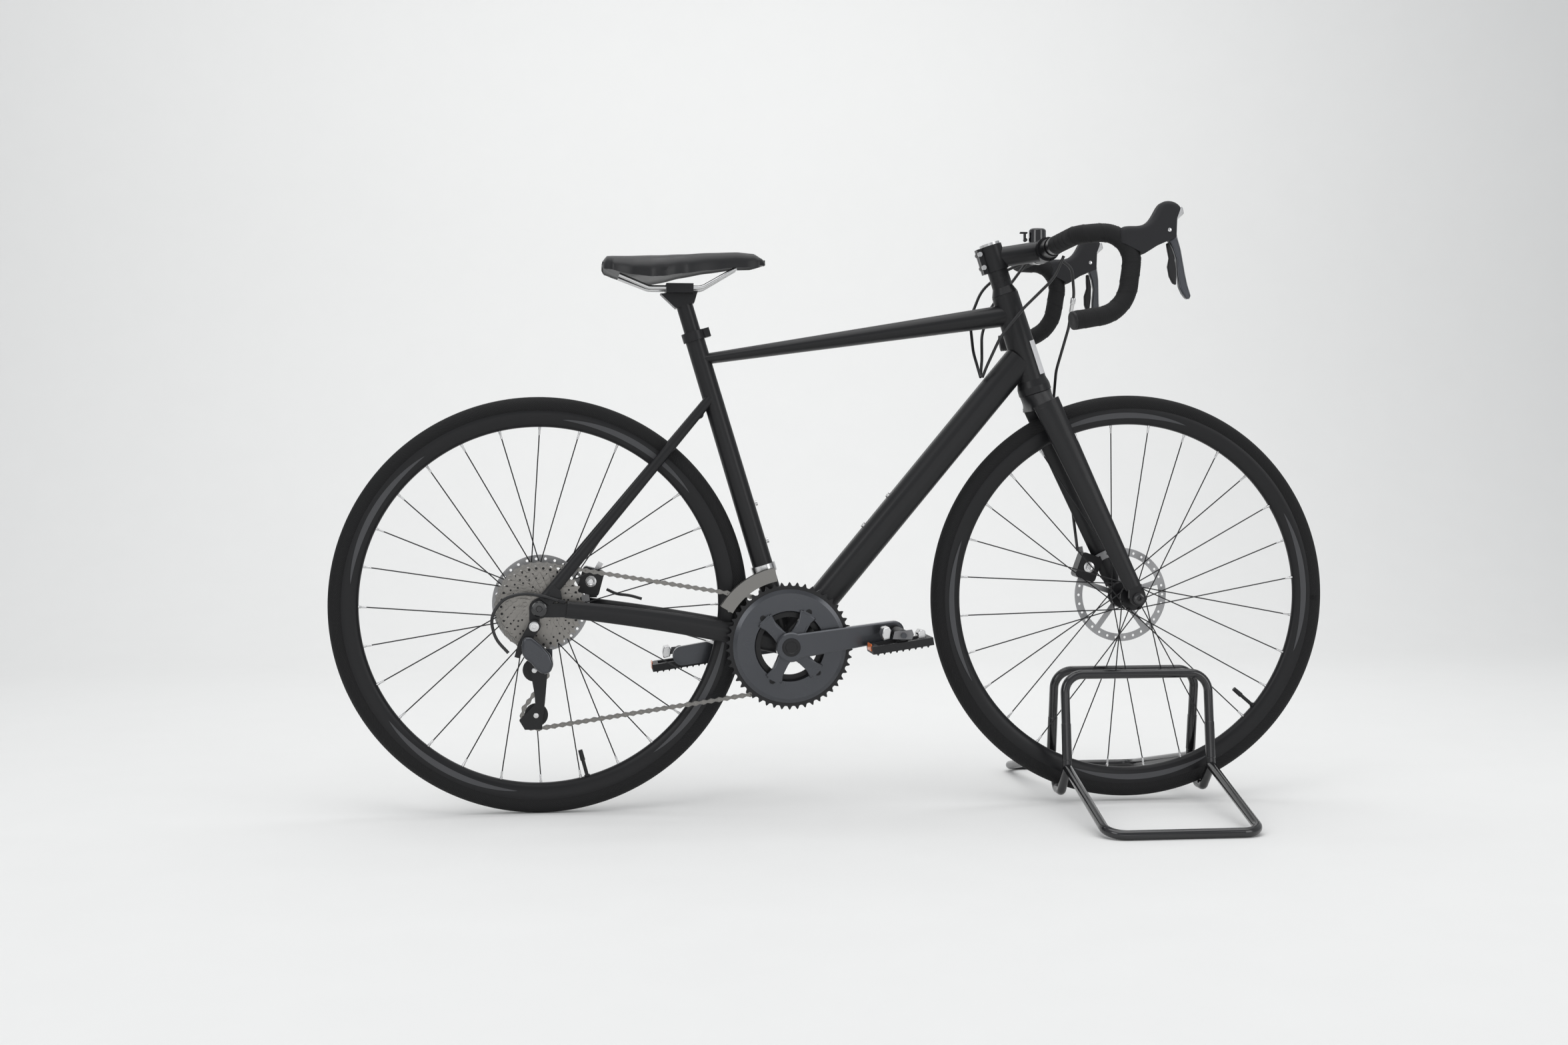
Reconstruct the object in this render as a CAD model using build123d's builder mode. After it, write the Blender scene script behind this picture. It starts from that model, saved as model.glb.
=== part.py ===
"""Road bicycle with disc brakes, its front wheel held in a tubular steel display stand.

Millimetres. +X is forward, +Y is the rider's left, +Z is up. The origin lies on the floor
midway between the two wheel axles, in the bicycle's middle plane. Each welded tube of the
frame is a node of its own, so that the frame's triangles stay open.
"""

import os
from math import acos, atan2, cos, degrees, hypot, pi, radians, sin, sqrt

from build123d import *

# ---------------------------------------------------------------- overall layout
wheelbase = 981.9
tyre_radius = 338.0
tyre_section = 28.0
front_wheel_lift = 7.2
bb_from_rear_axle = 402.1
bb_height = 271.8
head_angle = 72.13
fork_rake = 48.0
seat_angle = 73.22

# ---------------------------------------------------------------- running clearances
shaft_gap = 0.05
moving_gap = 0.5
seat_gap = 0.3

# ---------------------------------------------------------------- frame tubes
head_tube_foot = 374.7
head_tube_length = 171.2
head_tube_low_dia = 55.0
head_tube_mid_dia = 49.0
head_tube_top_dia = 44.0
head_tube_flare = 22.0
head_tube_bore = 39.0
seat_tube_length = 534.0
seat_tube_top_dia = 31.8
seat_tube_low_dia = 34.9
seatpost_dia = 27.2
down_tube_width = 48.5
down_tube_corner = 19.0
top_tube_rear_height = 17.5
top_tube_rear_width = 30.0
top_tube_front_height = 36.0
top_tube_front_width = 38.0
tube_wall = 2.0
bb_shell_dia = 44.0
bb_shell_width = 68.0
bb_bore_dia = 36.0
rear_spacing = 135.0
dropout_thickness = 8.0
chainstay_rear_height = 27.0
chainstay_front_height = 37.0
chainstay_width = 15.0
seatstay_top_dia = 15.5
seatstay_low_dia = 19.5
seatstay_width = 13.0

# ---------------------------------------------------------------- fork, stem and bar
steerer_dia = 28.6
fork_spacing = 100.0
fork_dropout_thickness = 10.0
fork_leg_top_depth = 46.0
fork_leg_low_depth = 27.0
fork_leg_top_width = 20.0
fork_leg_low_width = 12.0
headset_cover_height = 12.6
spacer_stack = 28.4
spacer_dia = 34.0
stem_clamp_height = 43.0
stem_length = 88.0
stem_rise_angle = 9.5
stem_body_dia = 34.0
bar_clamp_dia = 31.8
bar_dia = 23.8
tape_thickness = 2.8
bar_half_width = 214.0
bar_reach = 88.0
bar_drop = 137.0

# ---------------------------------------------------------------- wheels
rim_outer_radius = 317.0
rim_inner_radius = 289.0
rim_width = 22.0
spoke_count = 28
spoke_dia = 2.4
rotor_radius = 80.0
rotor_thickness = 1.8
front_rotor_y = 40.0
rear_rotor_y = 52.0
axle_dia = 12.0
axle_head_dia = 18.0
axle_head_height = 4.0

# ---------------------------------------------------------------- drivetrain
chain_pitch = 12.7
small_ring_teeth = 34
big_ring_teeth = 50
big_sprocket_teeth = 34
sprocket_pitch = 3.95
pulley_teeth = 11
small_ring_y = -41.0
big_ring_y = -47.5
big_sprocket_y = -28.0
crank_length = 170.0
crank_rise_angle = 8.5
crank_face_y = 73.0
spindle_dia = 24.0

# ---------------------------------------------------------------- stand
stand_tube_dia = 15.0
stand_top_height = 217.0
stand_top_y = 31.0
stand_joint_height = 65.0
stand_joint_y = 51.0
stand_floor_y = 323.0
stand_back_from_axle = 117.0
stand_front_from_axle = 129.0
stand_corner = 30.0

# ---------------------------------------------------------------- derived places
rear_x = -wheelbase / 2
front_x = wheelbase / 2
rear_axle = Vector(rear_x, 0, tyre_radius)
front_axle = Vector(front_x, 0, tyre_radius + front_wheel_lift)
bb = Vector(rear_x + bb_from_rear_axle, 0, bb_height)
seat_dir = Vector(-cos(radians(seat_angle)), 0, sin(radians(seat_angle)))
head_dir = Vector(-cos(radians(head_angle)), 0, sin(radians(head_angle)))
head_forward = Vector(sin(radians(head_angle)), 0, cos(radians(head_angle)))
head_foot = front_axle - head_forward * fork_rake
left = Vector(0, 1, 0)


def at(x, y, z):
    """A place measured from the point where the rear tyre meets the floor."""
    return Vector(rear_x + x, y, z)


def on_head(distance, forward=0.0, y=0.0):
    """A place along the steering axis, counted up from the point nearest the front axle."""
    return head_foot + head_dir * distance + head_forward * forward + left * y


def on_seat(distance):
    """A place on the seat tube's axis, counted up from the bottom bracket."""
    return bb + seat_dir * distance


def pitch_radius(teeth):
    """Radius of a sprocket's pitch circle."""
    return chain_pitch / (2 * sin(pi / teeth))


def side_plane(origin, y=0.0):
    """An upright plane whose x runs forward and whose y runs up, facing the rider's right."""
    place = Vector(origin.X, y, origin.Z)
    return Plane(origin=place, x_dir=(1, 0, 0), z_dir=(0, -1, 0))


def across(origin, direction):
    """A plane across a tube, with its x axis pointing to the rider's left."""
    return Plane(origin=origin, x_dir=(0, 1, 0), z_dir=direction)


def axle_bar(centre, spacing, wall):
    """A through axle with a flat head at each end, one of them with a hexagon socket."""
    with BuildPart() as axle:
        with BuildSketch(side_plane(centre)):
            Circle(axle_dia / 2)
        extrude(amount=spacing / 2 + wall + seat_gap, both=True)
        for side in (-1, 1):
            head = centre + left * side * (spacing / 2 + wall + seat_gap)
            with BuildSketch(Plane(origin=head, z_dir=left * side)):
                Circle(axle_head_dia / 2)
            extrude(amount=axle_head_height)
        outer_end = centre - left * (spacing / 2 + wall + seat_gap + axle_head_height)
        with BuildSketch(Plane(origin=outer_end, z_dir=left)):
            RegularPolygon(3, 6)
        extrude(amount=5, mode=Mode.SUBTRACT)
    return axle.part


def finish(name, piece):
    """Name a finished piece and write it."""
    piece.part.label = name
    export_step(piece.part, f"parts/{name}.step")


os.makedirs("parts", exist_ok=True)

# ================================================================ frame
head_top = head_tube_foot + head_tube_length
with BuildPart() as head_tube:
    with BuildSketch(Plane(origin=on_head(0), x_dir=head_forward, z_dir=-left)):
        with BuildLine():
            Polyline(
                (head_tube_bore / 2, head_tube_foot),
                (head_tube_low_dia / 2, head_tube_foot),
                (head_tube_low_dia / 2, head_tube_foot + head_tube_flare / 2),
                (head_tube_mid_dia / 2, head_tube_foot + head_tube_flare),
                (head_tube_top_dia / 2, head_top),
                (head_tube_bore / 2, head_top),
                close=True,
            )
        make_face()
    revolve(axis=Axis(on_head(0), head_dir))
finish("head_tube", head_tube)

seat_tube_bore = seatpost_dia + 2 * shaft_gap
with BuildPart() as seat_tube:
    with BuildSketch(across(bb, seat_dir)):
        Circle(seat_tube_low_dia / 2)
    with BuildSketch(across(on_seat(seat_tube_length), seat_dir)):
        Circle(seat_tube_top_dia / 2)
    loft()
    with BuildSketch(side_plane(bb)):
        Circle(bb_shell_dia / 2)
    extrude(amount=bb_shell_width / 2, both=True)
    with BuildSketch(side_plane(bb)):
        Circle(bb_bore_dia / 2)
    extrude(amount=bb_shell_width, both=True, mode=Mode.SUBTRACT)
    with BuildSketch(across(on_seat(bb_shell_dia), seat_dir)):
        Circle(seat_tube_bore / 2)
    extrude(amount=seat_tube_length, mode=Mode.SUBTRACT)
finish("seat_tube", seat_tube)

# the solids that the other tubes are mitred against
with BuildPart() as seat_tube_mitre:
    with BuildSketch(across(bb, seat_dir)):
        Circle(seat_tube_low_dia / 2)
    with BuildSketch(across(on_seat(seat_tube_length), seat_dir)):
        Circle(seat_tube_top_dia / 2)
    loft()
    with BuildSketch(side_plane(bb)):
        Circle(bb_shell_dia / 2)
    extrude(amount=bb_shell_width / 2, both=True)
with BuildPart() as head_tube_mitre:
    with BuildSketch(Plane(origin=on_head(0), x_dir=head_forward, z_dir=-left)):
        with BuildLine():
            Polyline(
                (0, head_tube_foot),
                (head_tube_low_dia / 2, head_tube_foot),
                (head_tube_low_dia / 2, head_tube_foot + head_tube_flare / 2),
                (head_tube_mid_dia / 2, head_tube_foot + head_tube_flare),
                (head_tube_top_dia / 2, head_top),
                (0, head_top),
                close=True,
            )
        make_face()
    revolve(axis=Axis(on_head(0), head_dir))

down_tube_top = at(793.0, 0, 742.0)
down_dir = (down_tube_top - bb).normalized()
with BuildPart() as down_tube:
    with BuildSketch(across(bb, down_dir)):
        RectangleRounded(down_tube_width, down_tube_width, down_tube_corner)
    extrude(amount=(down_tube_top - bb).length)
    with BuildSketch(across(bb, down_dir)):
        RectangleRounded(
            down_tube_width - 2 * tube_wall,
            down_tube_width - 2 * tube_wall,
            down_tube_corner - tube_wall,
        )
    extrude(amount=(down_tube_top - bb).length, mode=Mode.SUBTRACT)
    add(seat_tube_mitre.part, mode=Mode.SUBTRACT)
    add(head_tube_mitre.part, mode=Mode.SUBTRACT)

top_tube_rear = at(262.0, 0, 738.0)
top_tube_front = at(772.0, 0, 815.5)
top_dir = (top_tube_front - top_tube_rear).normalized()
with BuildPart() as top_tube:
    with BuildSketch(across(top_tube_rear, top_dir)):
        Ellipse(top_tube_rear_width / 2, top_tube_rear_height / 2)
    with BuildSketch(across(top_tube_front, top_dir)):
        Ellipse(top_tube_front_width / 2, top_tube_front_height / 2)
    loft()
    add(seat_tube_mitre.part, mode=Mode.SUBTRACT)
    add(head_tube_mitre.part, mode=Mode.SUBTRACT)
top_tube.part = top_tube.part.solids().sort_by(SortBy.VOLUME)[-1]
finish("top_tube", top_tube)

# bottle bosses, two on the down tube and two on the seat tube
boss_dia = 9.0
boss_height = 3.5
boss_bore_dia = 4.2
down_boss_stations = (232.0, 296.0)
seat_boss_stations = (172.0, 236.0)
down_up = Vector(-down_dir.Z, 0, down_dir.X)
seat_front = Vector(sin(radians(seat_angle)), 0, cos(radians(seat_angle)))
down_tube.part = down_tube.part.solids().sort_by(SortBy.VOLUME)[-1]
finish("down_tube", down_tube)

bottle_bolt_planes = [
    Plane(origin=bb + down_dir * s + down_up * (down_tube_width / 2 + 0.1), z_dir=down_up)
    for s in down_boss_stations
] + [
    Plane(origin=on_seat(s) + seat_front * (seat_tube_low_dia / 2 + 0.1), z_dir=seat_front)
    for s in seat_boss_stations
]
with BuildPart() as bottle_bolts:
    for plane in bottle_bolt_planes:
        with BuildSketch(plane):
            Circle(boss_dia / 2)
            Circle(boss_bore_dia / 2 - 0.6, mode=Mode.SUBTRACT)
        extrude(amount=boss_height)
finish("bottle_bolts", bottle_bolts)

dropout_y = rear_spacing / 2 + dropout_thickness / 2
stay_joint = at(30.0, 0, 344.0)
chainstay_front_y = 26.0
chainstay_mid_y = 44.0


def chainstay(side):
    """One stay with its dropout plate, from the bottom bracket back to the axle."""
    rear = Vector(stay_joint.X + 12, side * dropout_y, stay_joint.Z - 8)
    middle = Vector(rear_x + 190, side * chainstay_mid_y, bb.Z + 43)
    front = Vector(bb.X - 15, side * chainstay_front_y, bb.Z + 4)
    mid_height = (chainstay_rear_height + chainstay_front_height) / 2
    sections = (
        (rear, middle - rear, chainstay_rear_height),
        (middle, front - rear, mid_height),
        (front, front - middle, chainstay_front_height),
    )
    with BuildPart() as stay:
        for place, heading, height in sections:
            with BuildSketch(across(place, heading.normalized())):
                Ellipse(chainstay_width / 2, height / 2)
        loft()
        with BuildSketch(side_plane(rear_axle, rear.Y)):
            Circle(16)
            with Locations((25, -3)):
                Rectangle(50, 22)
        extrude(amount=dropout_thickness / 2, both=True)
        with BuildSketch(side_plane(rear_axle, rear.Y)):
            Circle(axle_dia / 2 + shaft_gap)
        extrude(amount=2 * dropout_thickness, both=True, mode=Mode.SUBTRACT)
        add(seat_tube_mitre.part, mode=Mode.SUBTRACT)
        add(down_tube.part, mode=Mode.SUBTRACT)
    return stay.part.solids().sort_by(SortBy.VOLUME)[-1]


hanger_bolt = at(-7.7, 0, 311.1)
hanger_bolt_dia = 8.0
with BuildPart() as chainstays:
    add(chainstay(-1))
    with BuildSketch(side_plane(rear_axle, -dropout_y)):
        with Locations((hanger_bolt.X - rear_axle.X, (hanger_bolt.Z - rear_axle.Z) / 2)):
            Rectangle(16, abs(hanger_bolt.Z - rear_axle.Z))
        with Locations((hanger_bolt.X - rear_axle.X, hanger_bolt.Z - rear_axle.Z)):
            Circle(10)
    extrude(amount=dropout_thickness / 2, both=True)
    with BuildSketch(side_plane(rear_axle, -dropout_y)):
        Circle(axle_dia / 2 + shaft_gap)
        with Locations((hanger_bolt.X - rear_axle.X, hanger_bolt.Z - rear_axle.Z)):
            Circle(hanger_bolt_dia / 2)
    extrude(amount=2 * dropout_thickness, both=True, mode=Mode.SUBTRACT)
    add(chainstay(1))
    add(axle_bar(rear_axle, rear_spacing, dropout_thickness))
finish("chainstays", chainstays)


def seatstay(side):
    """One stay from the side of the seat tube down to the dropout."""
    top = Vector(rear_x + 284, side * 8.0, 684.0)
    low = Vector(rear_x + 8.5, side * dropout_y, 352.2)
    with BuildPart() as stay:
        with BuildSketch(across(low, (top - low).normalized())):
            Ellipse(seatstay_width / 2, seatstay_low_dia / 2)
        with BuildSketch(across(top, (top - low).normalized())):
            Ellipse(seatstay_width / 2, seatstay_top_dia / 2)
        loft()
        add(chainstays.part, mode=Mode.SUBTRACT)
    return stay.part.solids().sort_by(SortBy.VOLUME)[-1]


with BuildPart() as seatstays:
    add(seatstay(-1))
    add(seatstay(1))
    with BuildSketch(side_plane(at(258, 0, 648))):
        Circle(7)
    extrude(amount=16, both=True)
    add(seat_tube_mitre.part, mode=Mode.SUBTRACT)
seatstays.part = seatstays.part.solids().sort_by(SortBy.VOLUME)[-1]
finish("seatstays", seatstays)

# the collar that pinches the seat tube's slotted top, with its bolt in front
clamp_height = 15.0
clamp_wall = 3.4
clamp_ear = 15.0
with BuildPart() as seat_clamp:
    clamp_low = seat_tube_length - clamp_height
    with BuildSketch(across(on_seat(clamp_low), seat_dir)):
        Circle(seat_tube_top_dia / 2 + clamp_wall)
        with Locations((0, -seat_tube_top_dia / 2 - clamp_wall)):
            Rectangle(18, clamp_ear)
    extrude(amount=clamp_height)
    add(seat_tube_mitre.part, mode=Mode.SUBTRACT)
    with BuildSketch(across(on_seat(clamp_low), seat_dir)):
        Circle(seat_tube_top_dia / 2)
        with Locations((0, -seat_tube_top_dia / 2 - clamp_wall)):
            Rectangle(2.5, clamp_ear + 1)
    extrude(amount=clamp_height, mode=Mode.SUBTRACT)
finish("seat_clamp", seat_clamp)

# bearing cups of the bottom bracket, one screwed into each end of the shell
cup_width = 9.0
cup_dia = 43.0
with BuildPart() as bottom_bracket:
    for side in (-1, 1):
        with BuildSketch(Plane(origin=bb + left * side * bb_shell_width / 2, z_dir=left * side)):
            Circle(cup_dia / 2)
            Circle(spindle_dia / 2 + shaft_gap, mode=Mode.SUBTRACT)
        extrude(amount=cup_width)
finish("bottom_bracket", bottom_bracket)

# ================================================================ seatpost and saddle
post_low = seat_tube_length - 130
post_top = 579.0
with BuildPart() as seatpost:
    with BuildSketch(across(on_seat(post_low), seat_dir)):
        Circle(seatpost_dia / 2)
        Circle(seatpost_dia / 2 - tube_wall, mode=Mode.SUBTRACT)
    extrude(amount=post_top - post_low)

rail_dia = 7.0
rail_half_gap = 22.0
rail_height = 853.0
head_place = on_seat(post_top)
with BuildPart() as seatpost_head:
    with BuildSketch(side_plane(Vector(0, 0, 0))):
        with BuildLine():
            Polyline(
                (head_place.X - 15, head_place.Z - 5.5),
                (head_place.X + 15.2, head_place.Z + 3.4),
                (rear_x + 256, rail_height - 4),
                (rear_x + 195, rail_height - 9),
                close=True,
            )
        make_face()
    extrude(amount=13, both=True)
    with BuildSketch(side_plane(at(226, 0, rail_height - 1), 0)):
        Rectangle(44, 15)
    extrude(amount=rail_half_gap + 7, both=True)
    with BuildSketch(Plane.YZ.offset(rear_x + 226)):
        with Locations((rail_half_gap, rail_height), (-rail_half_gap, rail_height)):
            Circle(rail_dia / 2 + shaft_gap)
    extrude(amount=40, both=True, mode=Mode.SUBTRACT)
    add(seatpost.part)
finish("seatpost", seatpost_head)

# two rails, each bent from a level middle up to the saddle's tail and nose
with BuildPart() as saddle_rails:
    for side in (-1, 1):
        with BuildLine() as rail_path:
            FilletPolyline(
                at(128, side * 30, 872),
                at(176, side * rail_half_gap, rail_height),
                at(262, side * rail_half_gap, rail_height),
                at(318, side * 12, 886),
                radius=24,
            )
        with BuildSketch(Plane(origin=rail_path.line @ 0, z_dir=rail_path.line % 0)):
            Circle(rail_dia / 2)
        sweep(path=rail_path.line)
finish("saddle_rails", saddle_rails)

# saddle outline: half-width of the seat at stations from tail to nose
saddle_stations = (
    (101.0, 38.0, 892.0, 7.0),
    (118.0, 60.0, 886.0, 18.0),
    (150.0, 71.0, 879.0, 25.0),
    (195.0, 62.0, 881.0, 25.0),
    (235.0, 36.0, 888.0, 20.0),
    (290.0, 23.0, 896.0, 17.0),
    (340.0, 19.0, 898.0, 14.0),
    (366.0, 9.0, 897.0, 6.0),
)
cover_gap = 0.2


def saddle_loft(base_drop, thickness_share, shrink):
    """One layer of the saddle, lofted from tail to nose."""
    with BuildPart() as layer:
        for x, half_width, base, height in saddle_stations:
            crown = height * thickness_share
            with BuildSketch(Plane(origin=at(x, 0, base - base_drop), x_dir=(0, 1, 0), z_dir=(1, 0, 0))):
                Ellipse(half_width - shrink, crown)
                with Locations((0, -crown)):
                    Rectangle(2 * half_width, 2 * crown, mode=Mode.SUBTRACT)
        loft(ruled=True)
    return layer.part


with BuildPart() as saddle_cover:
    add(saddle_loft(0, 1.0, 0))
finish("saddle_cover", saddle_cover)

shell_drop = 5.0
with BuildPart() as saddle_shell:
    for x, half_width, base, height in saddle_stations:
        with BuildSketch(Plane(origin=at(x, 0, base - shell_drop), x_dir=(0, 1, 0), z_dir=(1, 0, 0))):
            with Locations((0, (shell_drop - cover_gap) / 2)):
                Rectangle(2 * half_width - 8, shell_drop - cover_gap)
    loft(ruled=True)
    add(saddle_rails.part, mode=Mode.SUBTRACT)
saddle_shell.part = saddle_shell.part.solids().sort_by(SortBy.VOLUME)[-1]
finish("saddle_shell", saddle_shell)

# ================================================================ fork and headset
crown_foot = 348.0
steerer_top = head_top + headset_cover_height + spacer_stack + stem_clamp_height - 3
fork_leg_top_y = 36.0
fork_dropout_y = fork_spacing / 2 + fork_dropout_thickness / 2


def fork_leg(side):
    """One tapering blade from the crown down to its dropout."""
    top = on_head(crown_foot + 8, 3, side * fork_leg_top_y)
    low = Vector(front_axle.X - 8, side * (fork_dropout_y + 1), front_axle.Z + 18)
    heading = (top - low).normalized()
    with BuildPart() as leg:
        with BuildSketch(across(low, heading)):
            Ellipse(fork_leg_low_width / 2, fork_leg_low_depth / 2)
        with BuildSketch(across(top, heading)):
            Ellipse(fork_leg_top_width / 2, fork_leg_top_depth / 2)
        loft()
        with BuildSketch(side_plane(front_axle, side * fork_dropout_y)):
            Circle(13)
            with Locations((-5, 12)):
                Rectangle(20, 24)
        extrude(amount=fork_dropout_thickness / 2, both=True)
        with BuildSketch(side_plane(front_axle, side * fork_dropout_y)):
            Circle(axle_dia / 2 + shaft_gap)
        extrude(amount=20, both=True, mode=Mode.SUBTRACT)
    return leg.part


with BuildPart() as fork:
    add(axle_bar(front_axle, fork_spacing, fork_dropout_thickness))
    add(fork_leg(-1))
    add(fork_leg(1))
    with BuildSketch(across(on_head(crown_foot), head_dir)):
        RectangleRounded(2 * fork_leg_top_y + fork_leg_top_width, fork_leg_top_depth, 20)
    with BuildSketch(across(on_head(head_tube_foot - moving_gap), head_dir)):
        Circle(head_tube_low_dia / 2 - 1)
    loft()
    with BuildSketch(across(on_head(head_tube_foot - moving_gap), head_dir)):
        Circle(steerer_dia / 2)
    extrude(amount=steerer_top - head_tube_foot + moving_gap)
finish("fork", fork)

cover_foot = head_top + moving_gap
spacer_foot = head_top + headset_cover_height
stem_foot = spacer_foot + spacer_stack
stem_top = stem_foot + stem_clamp_height
spacer_count = 3
spacer_step = spacer_stack / spacer_count
with BuildPart() as headset:
    with BuildSketch(across(on_head(cover_foot), head_dir)):
        Circle(head_tube_top_dia / 2)
        Circle(steerer_dia / 2 + shaft_gap, mode=Mode.SUBTRACT)
    with BuildSketch(across(on_head(spacer_foot), head_dir)):
        Circle(spacer_dia / 2)
        Circle(steerer_dia / 2 + shaft_gap, mode=Mode.SUBTRACT)
    loft()
    for number in range(spacer_count):
        with BuildSketch(across(on_head(spacer_foot + 0.1 + number * spacer_step), head_dir)):
            Circle(spacer_dia / 2)
            Circle(steerer_dia / 2 + shaft_gap, mode=Mode.SUBTRACT)
        extrude(amount=spacer_step - 0.1)
finish("headset", headset)

# ================================================================ stem, bar, tape and hoods
stem_middle = on_head(stem_foot + stem_clamp_height / 2)
rise = radians(stem_rise_angle)
bar_centre = stem_middle + Vector(stem_length * cos(rise), 0, stem_length * sin(rise))
stem_dir = (bar_centre - stem_middle).normalized()
stem_clamp_width = 44.0
stem_clamp_dia = 40.0
faceplate_gap = 2.0
with BuildPart() as stem:
    with BuildSketch(across(stem_middle, stem_dir)):
        Circle(stem_body_dia / 2)
    extrude(amount=stem_length)
    with BuildSketch(across(on_head(stem_foot + 0.2), head_dir)):
        Circle(steerer_dia / 2 + 5)
        with Locations((0, steerer_dia / 2 + 4)):
            Rectangle(18, 14)
    extrude(amount=stem_clamp_height)
    with BuildSketch(side_plane(bar_centre)):
        Circle(stem_clamp_dia / 2)
    extrude(amount=stem_clamp_width / 2, both=True)
    with BuildSketch(across(on_head(head_top), head_dir)):
        Circle(steerer_dia / 2 + shaft_gap)
    extrude(amount=steerer_top - head_top + 1, mode=Mode.SUBTRACT)
    with BuildSketch(side_plane(bar_centre)):
        Circle(bar_clamp_dia / 2 + shaft_gap)
    extrude(amount=stem_clamp_width, both=True, mode=Mode.SUBTRACT)
    with BuildSketch(Plane(origin=bar_centre, x_dir=(0, 1, 0), z_dir=stem_dir)):
        Rectangle(2 * stem_clamp_width, 2 * stem_clamp_dia)
    extrude(amount=faceplate_gap, mode=Mode.SUBTRACT)
    with BuildSketch(across(on_head(stem_foot), head_dir)):
        with Locations((0, steerer_dia / 2 + 5)):
            Rectangle(2.0, 18)
    extrude(amount=stem_clamp_height + 2, mode=Mode.SUBTRACT)
finish("stem", stem)

# pinch bolts behind the steerer and their washers
pinch_bolt_dia = 8.0
cap_height = 4.0
with BuildPart() as stem_bolts:
    with BuildSketch(across(on_head(stem_top + 0.4), head_dir)):
        Circle(spacer_dia / 2)
    extrude(amount=cap_height)
    for share in (0.27, 0.8):
        place = on_head(stem_foot + share * stem_clamp_height, -(steerer_dia / 2 + 8.5))
        with BuildSketch(side_plane(place, -9.2)):
            Circle(pinch_bolt_dia / 2)
        extrude(amount=3)
        with BuildSketch(side_plane(place, 9.2)):
            Circle(pinch_bolt_dia / 2)
        extrude(amount=-3)
finish("stem_bolts", stem_bolts)

ramp_corner = bar_centre + Vector(0, 0, 1)
hook_corner = bar_centre + Vector(bar_reach, 0, 4)
drop_corner = bar_centre + Vector(bar_reach - 19, 0, -bar_drop + 15)
bar_end = bar_centre + Vector(-16, 0, -bar_drop)
hood_y = bar_half_width
drop_y = bar_half_width + 8
end_y = bar_half_width + 23
top_bend = 38.0
hook_bend = 45.0
drop_bend = 60.0


def bar_route(side):
    """Half of the handlebar's centre line, from the stem out to the bar's end."""
    return (
        Vector(bar_centre.X, 0, bar_centre.Z),
        Vector(ramp_corner.X, side * (bar_half_width - 10), ramp_corner.Z),
        Vector(hook_corner.X, side * hood_y, hook_corner.Z),
        Vector(drop_corner.X, side * drop_y, drop_corner.Z),
        Vector(bar_end.X, side * end_y, bar_end.Z),
    )


def bar_sweep(side, outer, start_share=0.0, inner=0.0):
    """A round tube that follows one half of the handlebar."""
    with BuildPart() as half:
        with BuildLine() as path:
            FilletPolyline(*bar_route(side), radius=[top_bend, hook_bend, drop_bend])
        with BuildSketch(Plane(origin=path.line @ 0, z_dir=path.line % 0)):
            Circle(outer)
            if inner:
                Circle(inner, mode=Mode.SUBTRACT)
        sweep(path=path.line)
        if start_share:
            with BuildSketch(side_plane(bar_centre)):
                Rectangle(80, 60)
            extrude(amount=start_share, both=True, mode=Mode.SUBTRACT)
    return half.part


tape_start_y = 62.0
with BuildPart() as handlebar:
    add(bar_sweep(-1, bar_dia / 2))
    add(bar_sweep(1, bar_dia / 2))
    with BuildSketch(side_plane(bar_centre)):
        Circle(bar_clamp_dia / 2)
    extrude(amount=tape_start_y - 8, both=True)
finish("handlebar", handlebar)

plug_thickness = 4.0
with BuildPart() as bar_tape:
    for side in (-1, 1):
        add(bar_sweep(side, bar_dia / 2 + tape_thickness, tape_start_y, bar_dia / 2))
        with BuildLine() as plug_path:
            FilletPolyline(*bar_route(side), radius=[top_bend, hook_bend, drop_bend])
        with BuildSketch(Plane(origin=plug_path.line @ 1, z_dir=plug_path.line % 1)):
            Circle(bar_dia / 2 + tape_thickness)
        extrude(amount=plug_thickness)
finish("bar_tape", bar_tape)

# outline of a hood seen from the side, from the bar's bend out to the raised horn
hood_width = 32.0
lever_pivot = bar_centre + Vector(139.0, 0, 1.0)
lever_slot = 15.0
lever_pin_dia = 5.0
lever_head_radius = 11.0


def hood(side):
    """One rubber-covered lever body, with a slot in front for the brake lever."""
    with BuildPart() as body:
        with BuildSketch(side_plane(bar_centre, side * hood_y)):
            with BuildLine():
                Spline(
                    (60, -14),
                    (66, 10),
                    (90, 12),
                    (106, 19),
                    (119, 38),
                    (128, 49),
                    (139, 51),
                    (156, 42),
                )
                Polyline((156, 42), (149, 24), (148, -6), (118, -19), (97, -32), (60, -14))
            make_face()
        extrude(amount=hood_width / 2, both=True)
        fillet(body.edges().filter_by(GeomType.BSPLINE), 9)
        with BuildSketch(side_plane(lever_pivot, side * hood_y)):
            Circle(lever_head_radius + 2)
            with Locations((7, -5)):
                Rectangle(42, 66)
        extrude(amount=lever_slot / 2, both=True, mode=Mode.SUBTRACT)
        with BuildSketch(side_plane(lever_pivot, side * hood_y)):
            Circle(lever_pin_dia / 2)
        extrude(amount=hood_width / 2, both=True)
        add(bar_sweep(side, bar_dia / 2 + tape_thickness), mode=Mode.SUBTRACT)
    return body.part.solids().sort_by(SortBy.VOLUME)[-1]


with BuildPart() as hoods:
    add(hood(-1))
    add(hood(1))
finish("hoods", hoods)

lever_flare = 27.0
lever_length = 112.0
lever_head_width = lever_slot - 2 * moving_gap
lever_blade_width = 11.0


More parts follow.
